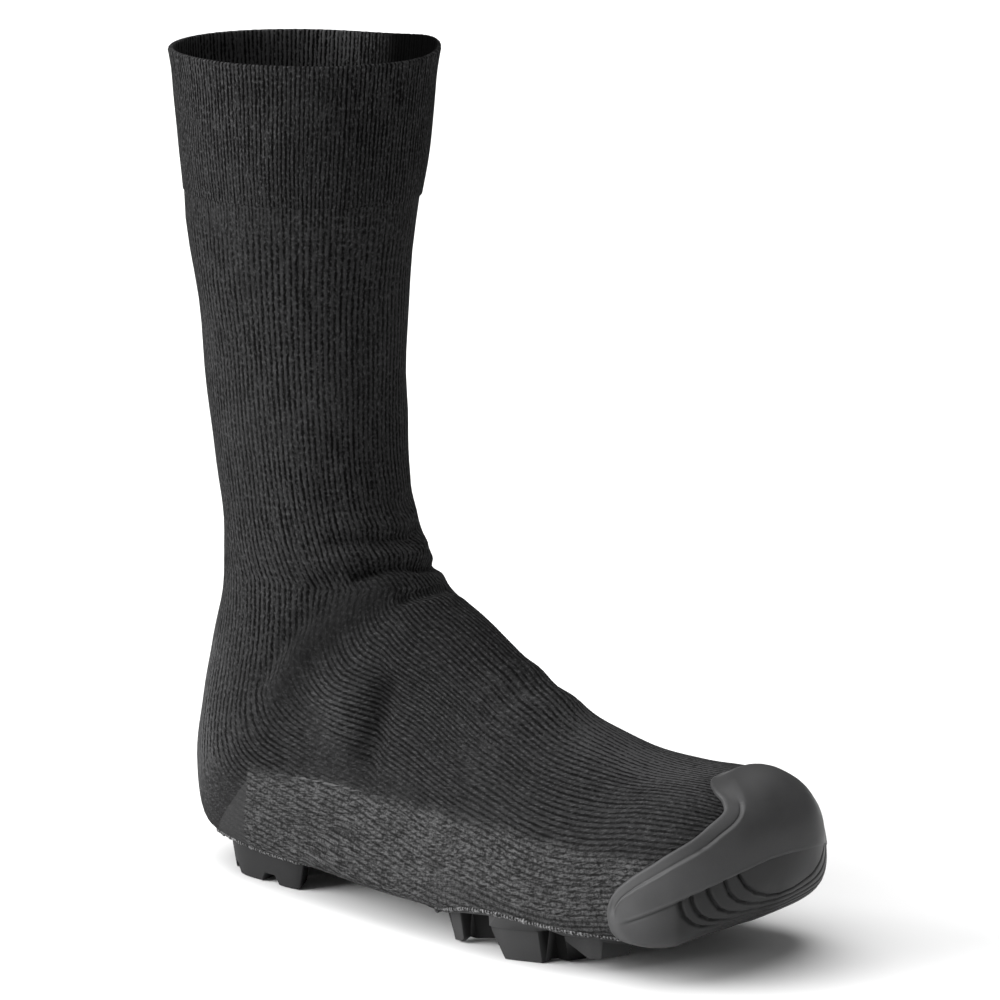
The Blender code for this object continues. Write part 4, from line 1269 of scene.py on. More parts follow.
def band_over(tree, settings, knit, mottle, stitch, colour, band):
    """The lower band laid over the knit: under a line near 50 mm high, ahead of the gore's upright edge.

    The gore is the plain wedge behind that edge, and a dotted light row runs along the band's top.
    """
    gore_x, level_x, row_end = frame_x(GORE_X), frame_x(BAND_LEVEL_X), frame_x(ROW_END_X)
    low, high = (z * MM for z in BAND_TOP_Z)
    over = maths(tree, "SUBTRACT", knit.z, ramp(tree, knit.x, gore_x, level_x, low, high))
    under = maths(tree, "SUBTRACT", -BAND_RAGGED / 2 * MM, over)
    ragged = maths(tree, "MULTIPLY_ADD", mottle, BAND_RAGGED * MM, under)
    from_gore = maths(tree, "SUBTRACT", knit.x, gore_x)
    ahead = ramp(tree, from_gore, -BAND_EDGE_SOFT * MM, BAND_EDGE_SOFT * MM)
    mask = maths(tree, "MULTIPLY", ramp(tree, ragged, -BAND_SOFT * MM, BAND_SOFT * MM), ahead)

    below = maths(tree, "SUBTRACT", GORE_TOP_Z * MM, knit.z)
    slant = maths(tree, "MULTIPLY_ADD", below, GORE_SLOPE, gore_x)
    wedge = ramp(tree, maths(tree, "SUBTRACT", knit.x, slant), -GORE_SOFT * MM, GORE_SOFT * MM)
    wedge = maths(tree, "MULTIPLY", wedge, maths(tree, "SUBTRACT", 1.0, ahead))
    gore_top = ramp(tree, knit.z, GORE_TOP_Z * MM, (GORE_TOP_Z - GORE_TOP_SOFT) * MM)
    wedge = maths(tree, "MULTIPLY", wedge, gore_top)
    sums = [light + dark for light, dark in zip(settings.band_light, settings.band_dark)]
    colour = blend_colour(tree, maths(tree, "MULTIPLY", wedge, GORE_TAKES), colour, scaled_colour(sums, 0.5))

    row = ramp(tree, maths(tree, "ABSOLUTE", over), *(height * MM for height in ROW_HEIGHT))
    row = maths(tree, "MULTIPLY", row, ramp(tree, stitch, *ROW_STITCH))
    start, full = (gore_x + x * MM for x in ROW_START)
    length = maths(tree, "MULTIPLY", ramp(tree, knit.x, start, full), ramp(tree, knit.x, row_end, level_x))
    row = maths(tree, "MULTIPLY", row, length)
    light = scaled_colour(settings.band_light, ROW_LIGHT)
    return blend_colour(tree, row, blend_colour(tree, mask, colour, band), light)


def band_colour(tree, settings, knit, wave, stitch, fuzz, mottle):
    """Speckled yarn of the lower band: broken ribs with light and dark stitches."""
    fleck = maths(tree, "MULTIPLY_ADD", yarn_noise(tree, knit, settings.ribs, FLECK_NOISE), *BAND_FLECKS)
    trough = ramp(tree, maths(tree, "MULTIPLY_ADD", wave, BAND_WAVE, fleck), *BAND_TROUGH)
    thread = yarn_noise(tree, knit, settings.ribs, THREAD_NOISE)
    thread = maths(tree, "MULTIPLY_ADD", thread, BAND_THREAD, maths(tree, "MULTIPLY", fuzz, 1 - BAND_THREAD))
    speck = ramp(tree, maths(tree, "MULTIPLY_ADD", stitch, BAND_STITCH, thread), *BAND_SPECK)
    lit = maths(tree, "MULTIPLY_ADD", speck, *BAND_SPECK_LIGHT)
    lit = maths(tree, "MULTIPLY", lit, maths(tree, "MULTIPLY_ADD", trough, *BAND_TROUGH_LIGHT))
    lit = maths(tree, "MULTIPLY", lit, maths(tree, "MULTIPLY_ADD", mottle, *BAND_MOTTLE_LIGHT))
    factor = add_node(tree, "ShaderNodeClamp", {"Value": lit}).outputs[0]
    return blend_colour(tree, factor, scaled_colour(settings.band_dark), scaled_colour(settings.band_light))


def rubber_material(name, colour, finish, shaded=True):
    """Moulded rubber: fine grain, cloudy tone and uneven roughness, darker by the piece's mark of tone and
    painted shade.
    """
    material, tree, shader = new_material(name)
    place = add_node(tree, "ShaderNodeTexCoord").outputs["Object"]
    cloud = noise(tree, place, *CLOUD_NOISE)
    grains = noise(tree, place, *GRAIN_NOISE)
    tone = maths(tree, "MULTIPLY_ADD", cloud, *CLOUD_TONE)
    tone = maths(tree, "MULTIPLY", tone, maths(tree, "MULTIPLY_ADD", grains, *GRAIN_TONE))
    dark, light = scaled_colour(colour, RUBBER_DARK), scaled_colour(colour, RUBBER_LIGHT)
    mixed = blend_colour(tree, ramp(tree, tone, *RUBBER_TONES, ease="LINEAR"), dark, light)
    if shaded:
        # Painted shade, with the cap body's own darker tone, from the points' mark
        mixed = blend_colour(tree, mark_value(tree, "shade"), RUBBER_SHADOW, mixed)
    low, high = finish.roughness - ROUGHNESS_SPREAD, finish.roughness + ROUGHNESS_SPREAD
    fill_sockets(tree, shader, {
        "Base Color": mixed,
        "Roughness": ramp(tree, cloud, *RUBBER_CLOUDS, low, high),
        "Specular IOR Level": finish.gloss,
        "Normal": bump(tree, grains, RUBBER_BUMP, finish.grain),
    })
    return material


class OVERSHOE_OT_knit_sock(bpy.types.Operator):
    """The sock: the last's surface with ribs, folds and slack, open under heel and forefoot, with a wall"""

    bl_idname = "overshoe.knit_sock"
    bl_label = "Knitted sock"

    def execute(self, context):
        settings = context.scene.overshoe_knit
        t = sock_row_places()
        share, rib, foot = sock_shares(t, settings.ribs)
        place = np.broadcast_to(t[:, None], share.shape)
        base, normal = sock_points(place, share), sock_normals(place, share)
        strength = rib_strength(base)
        points = base + normal * sock_height(base, rib, foot, strength, settings)[..., None]
        points[:, -1] = np.where((share[:, -1:] == 1.0), points[:, 0], points[:, -1])
        tip = np.broadcast_to(sock_points(TIP_T, 0.5), (1, share.shape[1], 3))
        points = np.concatenate([points, tip])
        uv = np.stack([np.concatenate([rib, rib[-1:]]), run_lengths(points) * MM], axis=-1)
        quads = grid_quads(points.shape[0], points.shape[1])
        # The tone mark carries the painted light and shade of the zones
        marks = {"rib_strength": strength, "foot": foot, "tone": painted_knit_tone(base)}
        marks = {name: np.concatenate([values, values[-1:]]) for name, values in marks.items()}
        material = knit_material("ribbed knit", settings, settings.ribs, True)
        sock = new_piece("knit_sock", points, quads, material, ["knit_upper"], uv, marks)
        # The sock's lining takes the lining's painted light on its crests
        sock.data.materials.append(knit_material("knit lining", settings, settings.ribs, False, LINING_PAINTED_LIGHT))
        solid = sock.modifiers.new("knit wall", "SOLIDIFY")
        solid.thickness = KNIT_WALL * MM
        solid.offset = -1.0
        solid.material_offset = 1
        return {"FINISHED"}


def cuff_section():
    """The cuff's closed wall as places and heights: up the outside, over the top and down the inside.

    Half circles join the walls at the top, and flat half ellipses at the foot.
    """
    top_t, foot_round = CUFF_RADIUS / CUFF_HEIGHT, CUFF_FOOT_ROUND / CUFF_HEIGHT
    low_t = 1.0 - foot_round
    angle = np.linspace(0, math.pi, CUFF_ROUND_STEPS + 1)[1:-1]
    wall = np.linspace(low_t, top_t, CUFF_ROWS)
    t = np.concatenate([wall, top_t - top_t * np.sin(angle), wall[::-1], low_t + foot_round * np.sin(angle)])
    out = np.concatenate([np.full(CUFF_ROWS, CUFF_OUT), CUFF_MIDDLE + CUFF_RADIUS * np.cos(angle),
                          np.full(CUFF_ROWS, CUFF_IN), CUFF_MIDDLE - CUFF_RADIUS * np.cos(angle)])
    return np.append(t, t[0])[:, None], np.append(out, out[0])[:, None]


def cuff_lumps(share):
    """Lumps round the rolled rim: one and two sine waves of the girth share."""
    first, second = (2 * math.pi * turns * share for turns in CUFF_LUMP_TURNS)
    return 1 + CUFF_LUMP * np.sin(first) + CUFF_LUMP * np.sin(second + CUFF_LUMP_PHASE)


def cuff_height(base, t, out, share, settings):
    """Height of the cuff over the last: its wall, front, roll and ribs, with the sock's slack and folds."""
    x, z = base[..., 0], base[..., 2]
    front = smoothstep(x, *CUFF_FRONT_X) * smoothstep(t, *CUFF_FRONT_T)
    flush = CUFF_FLUSH * smoothstep(t, *CUFF_FLUSH_T) * (1 - front)
    roll = CUFF_ROLL * cuff_lumps(share) * bell(t * CUFF_HEIGHT, CUFF_ROLL_DEPTH)
    roll = roll * (out - CUFF_MIDDLE) / CUFF_RADIUS
    shift = CUFF_SHIFT * np.sin(2 * math.pi * CUFF_SHIFT_TURNS * share)
    uneven = 1 + CUFF_UNEVEN * np.sin(CUFF_UNEVEN_Z * z + shift + CUFF_UNEVEN_X * x)
    side = np.where(out > CUFF_MIDDLE, 1.0, LINING_RIBS)
    ribs = side * settings.cuff_rib_depth / MM * uneven * rib_profile(share * settings.cuff_ribs)
    ribs = ribs * smoothstep(z - CUFF_HEM_Z, 0.0, HEM_BLEND)
    wall = out + (CUFF_FRONT * front + flush) * (out > CUFF_MIDDLE)
    return wall + roll + ribs + slack_height(base) + fold_height(base)


def cuff_painted_light(x, t, out, share):
    """Painted shade on the cuff to the front, a painted highlight on its rim, and the lining's painted light
    and shade.
    """
    inside = smoothstep(CUFF_MIDDLE - out, *LINING_TURN)
    lining = LINING_PAINTED_LIGHT * (1 - LINING_PAINTED_SHADE * smoothstep(x, *LINING_PAINTED_SHADE_X))
    tone = (CUFF_TONE - CUFF_PAINTED_SHADE * smoothstep(x, *CUFF_PAINTED_SHADE_X)) * (1 - (1 - lining) * inside)
    rim = RIM_PAINTED_HIGHLIGHT * cuff_lumps(share) * bell(t * CUFF_HEIGHT, RIM_PAINTED_HIGHLIGHT_DEPTH)
    return tone * (1 + rim * (1 - inside))


class OVERSHOE_OT_knit_cuff(bpy.types.Operator):
    """The doubled cuff: a closed wall section with round edges carried round the collar, with finer ribs"""

    bl_idname = "overshoe.knit_cuff"
    bl_label = "Knitted cuff"

    def execute(self, context):
        settings = context.scene.overshoe_knit
        share = np.linspace(0, 1, settings.cuff_ribs * CUFF_COLUMNS_PER_RIB + 1)[None, :]
        t, out = cuff_section()
        base, normal = sock_points(t, share), sock_normals(t, share)
        points = base + normal * cuff_height(base, t, out, share, settings)[..., None]
        drop = CUFF_ROLL_DROP * (cuff_lumps(share) - 1) * bell(t * CUFF_HEIGHT, CUFF_ROLL_DEPTH)
        from_lift = np.linalg.norm(base[..., :2] - COLLAR_LIFT_AT, axis=-1)
        lift = COLLAR_LIFT * bell(from_lift, COLLAR_LIFT_BREADTH, 2) * (1 - smoothstep(t, *COLLAR_LIFT_T))
        points[..., 2] += lift - drop
        points[:, -1] = points[:, 0]
        run = run_lengths(points)
        uv = np.stack([np.broadcast_to(share, run.shape), run * MM], axis=-1)
        quads = grid_quads(*points.shape[:2], flip=True)
        material = knit_material("cuff knit", settings, settings.cuff_ribs, False)
        tone = cuff_painted_light(base[..., 0], t, out, share)
        marks = {"rib_strength": np.ones(run.shape), "foot": np.zeros(run.shape), "tone": tone}
        new_piece("knit_cuff", points, quads, material, None, uv, marks)
        return {"FINISHED"}


def opening_loop(opening, count):
    """The opening's hem as a closed loop of place and share: forward by the inner hem, back by the outer."""
    middle, half = opening_span(opening)
    place = np.sin(np.linspace(-1, 1, count) * math.pi / 2) * OPENING_END
    t = place_of_sole_x(middle + place * half)
    inner, outer = hem_shares(t)
    return np.concatenate([t, t[::-1]]), np.concatenate([inner, outer[::-1]])


def even_loop(points, count):
    """A closed loop of points laid out again at even steps of its length."""
    closed = np.concatenate([points, points[:1]])
    run = run_lengths(closed)
    at = np.linspace(0, run[-1], count, endpoint=False)
    return np.stack([np.interp(at, run, closed[:, axis]) for axis in range(3)], axis=-1), run[-1]


def unit_rows(vectors):
    """Vectors brought to unit length, row by row."""
    return vectors / np.linalg.norm(vectors, axis=1, keepdims=True)


def hem_roll(opening, radius):
    """Points and stitch map of a rolled hem: an oval carried round the opening, swelling on the way.

    The swell is one and a few sine waves of the length run, and a bell of distance from the tuft.
    """
    t, share = opening_loop(opening, HEM_READINGS)
    base, normal = sock_points(t, share), sock_normals(t, share)
    path, length = even_loop(base + normal * (fold_height(base)[:, None] - HEM_SUNK), HEM_POINTS)
    out, _ = even_loop(base + normal * HEM_OUT_STEP, HEM_POINTS)
    along = unit_rows(np.roll(path, -1, axis=0) - np.roll(path, 1, axis=0))
    side = unit_rows(np.cross(along, unit_rows(out - path)))
    out = np.cross(side, along)
    run = np.arange(HEM_POINTS) / HEM_POINTS * length
    swell = np.ones(HEM_POINTS)
    for gain, turns, phase in HEM_SWELLS:
        swell += gain * np.sin(run * turns + phase)
    tuft = bell(line_distance(path, [HEM_TUFT]), HEM_TUFT_BREADTH)
    swell += tuft * (HEM_TUFT_SWELL + HEM_TUFT_WAVE * np.sin(run * HEM_TUFT_TURNS))
    turn = np.linspace(0, 2 * math.pi, HEM_SIDES + 1)[None, :, None]
    oval = side[:, None, :] * np.cos(turn) + HEM_OVAL * out[:, None, :] * np.sin(turn)
    ring = path[:, None, :] + (radius * swell)[:, None, None] * oval
    ring = np.concatenate([ring, ring[:1]])
    ring[:, -1] = ring[:, 0]
    run = np.append(run, length)[:, None] * MM
    uv = np.stack(np.broadcast_arrays(run, np.linspace(0, 1, HEM_SIDES + 1)[None, :]), axis=-1)
    return ring, uv


class OVERSHOE_OT_opening_hems(bpy.types.Operator):
    """The rolled hems: a small ring carried round each opening under the sole, with overlocked stitches"""

    bl_idname = "overshoe.opening_hems"
    bl_label = "Opening hems"

    def execute(self, context):
        settings = context.scene.overshoe_knit
        material = hem_material(settings)
        for opening in OPENINGS:
            ring, uv = hem_roll(opening, settings.hem_radius / MM)
            quads = grid_quads(ring.shape[0], ring.shape[1], flip=True)
            new_piece(f"{opening.name}_hem", ring, quads, material, None, uv)
        return {"FINISHED"}


def hem_material(settings):
    """Overlocked edge: slanted thread stripes round the roll, light over dark."""
    material, tree, shader = new_material("hem yarn")
    stitch_map = add_node(tree, "ShaderNodeUVMap", uv_map="stitch_map").outputs["UV"]
    apart = add_node(tree, "ShaderNodeSeparateXYZ", {"Vector": stitch_map}).outputs
    slant = maths(tree, "MULTIPLY_ADD", apart["X"], 1 / HEM_STITCH, apart["Y"])
    thread = maths(tree, "COSINE", maths(tree, "MULTIPLY", slant, 2 * math.pi))
    fuzz = noise(tree, add_node(tree, "ShaderNodeTexCoord").outputs["Object"], *HEM_NOISE)
    uneven = maths(tree, "MULTIPLY_ADD", fuzz, *HEM_UNEVEN)
    ragged = maths(tree, "MULTIPLY_ADD", fuzz, HEM_RAGGED, maths(tree, "MULTIPLY_ADD", thread, *HEM_THREAD))
    factor = maths(tree, "MULTIPLY", ramp(tree, ragged, *HEM_RANGE), uneven)
    dark, light = scaled_colour(settings.band_dark), scaled_colour(settings.band_light, HEM_LIGHT)
    fill_sockets(tree, shader, {
        "Base Color": blend_colour(tree, factor, dark, light),
        "Roughness": HEM_ROUGHNESS,
        "Specular IOR Level": HEM_GLOSS,
        "Normal": bump(tree, thread, *HEM_BUMP),
    })
    return material


def cap_border_x(share):
    """Where the cap's border lies along the last at a girth share, the same on both sides."""
    places = np.array([point.share for point in CAP_BORDER])
    index = np.interp(np.minimum(share, 1 - share), places, np.arange(len(places)))
    return smooth_column([point.x for point in CAP_BORDER], index)


def cap_start_places(share):
    """The place along each column of the sock where the cap's border crosses it."""
    t = np.linspace(STATION["waist"], TIP_T, BORDER_READINGS)
    line_x = np.maximum.accumulate(sock_points(t[:, None], share[None, :])[..., 0], axis=0)
    line_x = line_x.T + np.linspace(0, 1e-6, len(t))[None, :]
    return read_rows(cap_border_x(share)[:, None], line_x, np.broadcast_to(t, line_x.shape).copy())[:, 0]


def cap_height(points, edge, side, settings):
    """Height of the cap over the knit: round edge, lip, a step with bead and crease, body and crown.

    Beyond the ends of the step the height feathers in from the border instead.
    """
    lip, body = settings.lip_height / MM, settings.body_height / MM
    width = settings.lip_width / MM * np.interp(side, *zip(*CAP_LIP_SHARES))
    round_edge = np.sqrt(np.clip(1 - (1 - np.clip(edge / EDGE_ROUND, 0, 1)) ** 2, 0, 1))
    stepped = smoothstep(side, *STEP_START) * (1 - smoothstep(side, *STEP_END))
    flat = lip * round_edge + (body - lip) * smoothstep(edge, width, width + STEP_WIDTH)
    for height, away, breadth in (STEP_BEAD, STEP_CREASE):
        flat += height * bell(edge - width - away, breadth)
    on_tongue = smoothstep(side, *TONGUE_SHARES)
    thin = TONGUE_HEIGHT * on_tongue + lip * (1 - on_tongue)
    feather = thin * round_edge + (body - thin) * smoothstep(edge, *FEATHER_EDGE)
    crown = bell(line_distance(points, CAP_CROWN), CAP_CROWN_BREADTH, 2) * smoothstep(edge, *CAP_CROWN_EDGE)
    return feather + (flat - feather) * stepped + CAP_CROWN_HEIGHT * crown


def cap_relief(points):
    """Under the cap's ledge: the recess, grooves along nested curves and a thin line; over it, a bead."""
    turned = np.degrees(np.arctan2(points[..., 1] - TIP_Y, points[..., 0] - SECTIONS[-1].back_x))
    angle = turned + LEDGE_TURN
    side = np.abs(angle)
    below = np.interp(side, *zip(*CAP_LEDGE)) - points[..., 2]
    under = smoothstep(below, *LEDGE_UNDER)
    soft = 1 - LEDGE_FADE * smoothstep(angle, *LEDGE_FADE_ANGLES)
    recess = np.interp(side, *zip(*CAP_RECESS)) * under * soft
    unrolled = np.stack([np.radians(side) * GROOVE_ARC, points[..., 2] * GROOVE_RISE], axis=-1)
    groove = np.zeros(points.shape[:-1])
    for line in CAP_GROOVES:
        flat = np.array(line) * [math.radians(1) * GROOVE_ARC, GROOVE_RISE]
        groove = np.maximum(groove, bell(line_distance(unrolled, flat), GROOVE_BREADTH))
    ends = smoothstep(LEDGE_END - side, 0, LEDGE_END_FADE)
    rear = smoothstep(side, *LINE_REAR_ANGLES) * ends
    line, bead = (bell(below - away, breadth) * ends for away, breadth in (LEDGE_LINE, LEDGE_BEAD))
    return recess, groove * under, line * (LINE_FRONT + (1 - LINE_FRONT) * rear) * soft, bead * soft


def cap_places(share):
    """Places of the cap's rows on each column: at set distances from the border, then even to the tip."""
    start = cap_start_places(share)[None, :]
    fine = start + (TIP_T - CAP_TIP_T - start) * np.linspace(0, 1, CAP_READINGS)[:, None]
    run = run_lengths(sock_points(fine, np.broadcast_to(share, fine.shape)))
    edge_rows = np.array(CAP_EDGE_PLACES)[:, None]
    rest = np.linspace(0, 1, CAP_BODY_ROWS + 1)[1:, None]
    reach = np.concatenate([np.broadcast_to(edge_rows, (len(edge_rows), CAP_COLUMNS)),
                            edge_rows[-1] + (run[-1] - edge_rows[-1]) * rest])
    return read_rows(reach.T, run.T, fine.T).T


def fade(shade, zone):
    """One outside a zone, and the shade in it."""
    return 1 - (1 - shade) * zone


def cap_tone_and_painted_shade(points, edge, side, relief):
    """The body's own darker rubber times the painted shade, shadow and highlight of the cap's zones, grooves
    and ledge.
    """
    x, y, z = points[..., 0], points[..., 1], points[..., 2]
    recess, groove, line, bead = relief
    shade = fade(BODY_SHADE, smoothstep(edge, *BODY_EDGE))
    shade *= fade(BUMPER_PAINTED_SHADE, smoothstep(recess, *BUMPER_RECESS))
    shade *= fade(GROOVE_PAINTED_SHADE, groove) * fade(LINE_PAINTED_SHADOW, line) * (1 + BEAD_PAINTED_HIGHLIGHT * bead)
    shade *= fade(FRONT_PAINTED_SHADE, smoothstep(x, *FRONT_X))
    shade *= fade(CROWN_PAINTED_SHADE, smoothstep(z, *CROWN_Z))
    shade *= fade(CHIN_PAINTED_SHADE, smoothstep(x, *CHIN_X) * (1 - smoothstep(z, *CHIN_Z)))
    shade *= fade(TONGUE_PAINTED_SHADE, smoothstep(side, *TONGUE_SHARES) * (1 - smoothstep(edge, *TONGUE_EDGE)))
    return shade * fade(WING_PAINTED_SHADE, smoothstep(np.abs(y - TIP_Y), *WING_Y))


class OVERSHOE_OT_toe_cap(bpy.types.Operator):
    """The moulded toe cap: the sock's surface from the cap's border to the tip, lifted by the cap's height"""

    bl_idname = "overshoe.toe_cap"
    bl_label = "Toe cap"

    def execute(self, context):
        settings = context.scene.overshoe_cap
        share = np.linspace(0, 1, CAP_COLUMNS, endpoint=False)
        place = cap_places(share)
        shares = np.broadcast_to(share, place.shape)
        side = np.minimum(shares, 1 - shares)
        base, normal = sock_points(place, shares), sock_normals(place, shares)
        edge = line_distance(base, np.concatenate([base[0], base[:1, 0]]))
        inside = smoothstep(edge, *RELIEF_EDGE)
        relief = [part * inside for part in cap_relief(base + normal * RELIEF_OUT)]
        recess, groove, line, bead = relief
        sunk = recess + settings.groove_depth / MM * groove + LINE_DEPTH * line - BEAD_HEIGHT * bead
        height = CAP_SEAT + cap_height(base, edge, side, settings) - (sunk - fold_height(base))
        outer = base + normal * height[..., None]
        # Painted shade of the cap, with the body's own darker rubber
        shade = cap_tone_and_painted_shade(base, edge, side, relief)
        inner_rows = np.linspace(0, len(place) - 1, CAP_INNER_ROWS).astype(int)[::-1]
        inner = base[inner_rows] + normal[inner_rows] * (fold_height(base[inner_rows])[..., None] - CAP_SUNK)
        tip_out = outer[-1].mean(axis=0) + [CAP_TIP_OUT, 0, 0]
        tip_in = inner[0].mean(axis=0)
        shell = np.concatenate([np.broadcast_to(tip_in, (1, CAP_COLUMNS, 3)), inner, outer,
                                np.broadcast_to(tip_out, (1, CAP_COLUMNS, 3))])
        hidden = np.ones((len(inner) + 1, CAP_COLUMNS))
        marks = {"shade": np.concatenate([hidden, shade, shade[-1:]])}
        quads = grid_quads(shell.shape[0], CAP_COLUMNS, ring=True)
        material = rubber_material("cap rubber", settings.colour, CAP_FINISH)
        new_piece("toe_cap_shell", shell, quads, material, ["toe_cap"], marks=marks)
        return {"FINISHED"}


def inner_reach(t, height):
    """Inside half widths of the knit, inner and outer, at a height over each row's sole point."""
    share = np.linspace(*REACH_SHARES, REACH_READINGS)
    found = []
    for sign in (1, -1):
        at = np.mod(sign * share, 1.0)[None, :]
        wall = sock_points(t[:, None], at) - sock_normals(t[:, None], at) * KNIT_WALL
        lift = np.maximum.accumulate(wall[..., 2] - sock_points(t, 0.0)[:, None, 2], axis=1)
        lift = lift + np.linspace(0, 1e-6, lift.shape[1])[None, :]
        found.append(read_rows(np.full((len(t), 1), height), lift, wall[..., 1])[:, 0])
    return found


def sole_frame(x):
    """Sole points at the places x, and the lean of the section planes there."""
    t = place_of_sole_x(x)
    value = section_values(t)
    low = np.stack([value["middle_x"] - value["half_x"], 0 * x, value["middle_z"] - value["half_z"]], axis=-1)
    lean = np.stack([value["half_x"] / value["half_z"], 0 * x, 1 + 0 * x], axis=-1)
    return t, low, lean


def closed_loft(rings, flip):
    """A loft through rings with its two ends filled, as points and quads of one grid."""
    ends = [np.broadcast_to(rings[k].mean(axis=0), (1,) + rings.shape[1:]) for k in (0, -1)]
    points = np.concatenate([ends[0], rings, ends[1]])
    return points, grid_quads(points.shape[0], points.shape[1], ring=True, flip=flip)


class OVERSHOE_OT_sole_plate(bpy.types.Operator):
    """The sole plate: a slab inside the knit that follows the sole's curve, with rounded edges"""

    bl_idname = "overshoe.sole_plate"
    bl_label = "Sole plate"

    def execute(self, context):
        settings = context.scene.overshoe_sole
        x = np.linspace(PLATE_BACK_X, PLATE_FRONT_X, PLATE_ROWS)
        t, low, lean = sole_frame(x)
        lift = KNIT_WALL + PLATE_LIFT
        inner, outer = inner_reach(t, lift + PLATE_WALL / 2)
        bottom_in, bottom_out = inner_reach(t, lift - PLATE_LOW_READING)
        turn = np.linspace(0, math.pi / 2, PLATE_CORNER_POINTS)
        corner_in, corner_up = PLATE_CORNER * (1 - np.cos(turn)), PLATE_CORNER * (1 - np.sin(turn))
        heights = np.concatenate([lift + corner_up[::-1], lift + PLATE_WALL - corner_up])
        inset = PLATE_SIDE_GAP + np.concatenate([corner_in[::-1], corner_in])
        blend = np.clip((heights - lift) / PLATE_WALL * PLATE_FLARE, 0, 1)[None, :]
        in_y = bottom_in[:, None] + (np.maximum(inner, bottom_in) - bottom_in)[:, None] * blend - inset
        out_y = bottom_out[:, None] + (np.minimum(outer, bottom_out) - bottom_out)[:, None] * blend + inset
        y = np.concatenate([in_y, out_y[:, ::-1]], axis=1)
        up = np.concatenate([heights, heights[::-1]])[None, :, None]
        ring = low[:, None, :] + lean[:, None, :] * up
        ring[..., 1] = y
        points, quads = closed_loft(ring, flip=False)
        material = rubber_material("plate plastic", settings.plate, PLATE_FINISH, shaded=False)
        new_piece("inner_sole_plate", points, quads, material, ["sole_plate"],
                  smooth_angle=PLATE_SMOOTH)
        return {"FINISHED"}


def hem_half_width(x):
    """Half width inside the knit's opening at x, less the tread's gap, and the section's middle y."""
    t = place_of_sole_x(x)
    centre = section_values(t)["centre_y"]
    reach = np.abs(outlines(t)[..., 1] - centre[:, None]).max(axis=1)
    width = np.zeros_like(reach)
    for opening in OPENINGS:
        inside = (x >= opening.start_x) & (x <= opening.end_x)
        width = np.where(inside, (reach - opening.hem_inset) * opening_share(opening, x), width)
    return width - TREAD_HEM_GAP, centre


def tread_rings(outer, inner, top_z, ground_z, rim=None):
    """Rings across a tread, with walls drafted to the ground; a rim carries the outer wall up to a hem."""
    across = unit_rows(inner - outer)
    depth = (top_z - ground_z)[:, None]
    top_z = top_z[:, None]
    shelf = np.minimum(depth, TREAD_SHELF)
    corners = [(outer, top_z)]
    if rim is not None:
        for inward, lift in (RIM_HIGH, RIM_LOW):
            corners.append((rim[:, :2] + across * inward, rim[:, 2:] + lift))
        inward, lift = RIM_LEDGE
        corners.append((outer + across * inward, top_z - shelf + lift))
    corners += [
        (outer + across * 0.5 * TREAD_DRAFT * shelf, top_z - shelf),
        (outer + across * TREAD_DRAFT * depth, top_z - depth),
        (inner - across * TREAD_DRAFT * depth, top_z - depth),
        (inner, top_z),
    ]
    return np.stack([np.concatenate([plan, height + 0 * depth], axis=1) for plan, height in corners], axis=1)


def heel_edges(turn):
    """Edges of the horseshoe: straight legs ahead of the turn, a half ellipse round the heel."""
    half = hem_half_width(np.array([HEEL_TURN_X]))[0][0]
    back = HEEL_TURN_X - HEEL_BACK_X
    beyond = np.where(turn < 0, -turn, np.maximum(turn - 1, 0))
    side = np.where(turn < 0.5, -1.0, 1.0)
    leg_x = HEEL_TURN_X + (HEEL_FRONT_X - HEEL_TURN_X) * beyond
    reach = hem_half_width(leg_x)[0]
    on_leg = ((turn < 0) | (turn > 1))[:, None]
    angle = math.pi * np.clip(turn, 0, 1)
    found = []
    for inset in (0.0, HEEL_BAND_WIDTH):
        skew = HEEL_FRONT_SKEW * inset / HEEL_BAND_WIDTH * smoothstep(beyond, *HEEL_SKEW_SHARES)
        leg = np.stack([leg_x - skew, side * (reach - inset)], axis=-1)
        bow_x, bow_y = HEEL_TURN_X - (back - inset) * np.sin(angle), -(half - inset) * np.cos(angle)
        bow = np.stack([bow_x, bow_y], axis=-1)
        found.append(np.where(on_leg, leg, bow))
    return found


def heel_rings():
    """Rings of the heel's horseshoe: cleats on the floor with sloped notches between."""
    fine = np.linspace(-1, 2, HEEL_READINGS)
    path = heel_edges(fine)[0]
    run = run_lengths(path)
    pitch = (run[-1] + HEEL_NOTCH) / HEEL_CLEATS
    cleat = pitch - HEEL_NOTCH
    start = np.arange(HEEL_CLEATS) * pitch
    offsets = [cleat * share for share in HEEL_CLEAT_STOPS] + [cleat + HEEL_SLOPE, pitch - HEEL_SLOPE]
    stops = np.concatenate([start + offset for offset in offsets])
    stops = np.sort(stops[stops <= run[-1] + 1e-9])
    into = np.minimum(stops % pitch - cleat, pitch - stops % pitch)
    ground = HEEL_NOTCH_DEPTH * np.clip(into / HEEL_SLOPE, 0, 1)
    outer, inner = heel_edges(np.interp(stops, run, fine))
    rings = tread_rings(outer, inner, np.full(len(stops), HEEL_TOP_Z), ground)
    rings[[0, -1], 2:4, 0] -= HEEL_END_SLANT
    return rings


def forefoot_rings(side):
    """Rings of one forefoot strip with its post and lugs, on the outer (-1) or inner (+1) edge."""
    x, ground, width, out = (
        np.array([getattr(row, name) for row in FOREFOOT_LUGS]) for name in ("x", "ground_z", "width", "out")
    )
    reach, centre = hem_half_width(x)
    t, low, _ = sole_frame(x)
    top = low[:, 2] + KNIT_WALL + PLATE_LIFT - FIT_GAP
    outer = np.stack([x, centre + side * (reach + out)], axis=-1)
    inner = np.stack([x + LUG_SKEW * width, centre + side * (reach + out - width)], axis=-1)
    hem = hem_shares(t)[0 if side > 0 else 1]
    return tread_rings(outer, inner, top, ground, sock_points(t, hem))


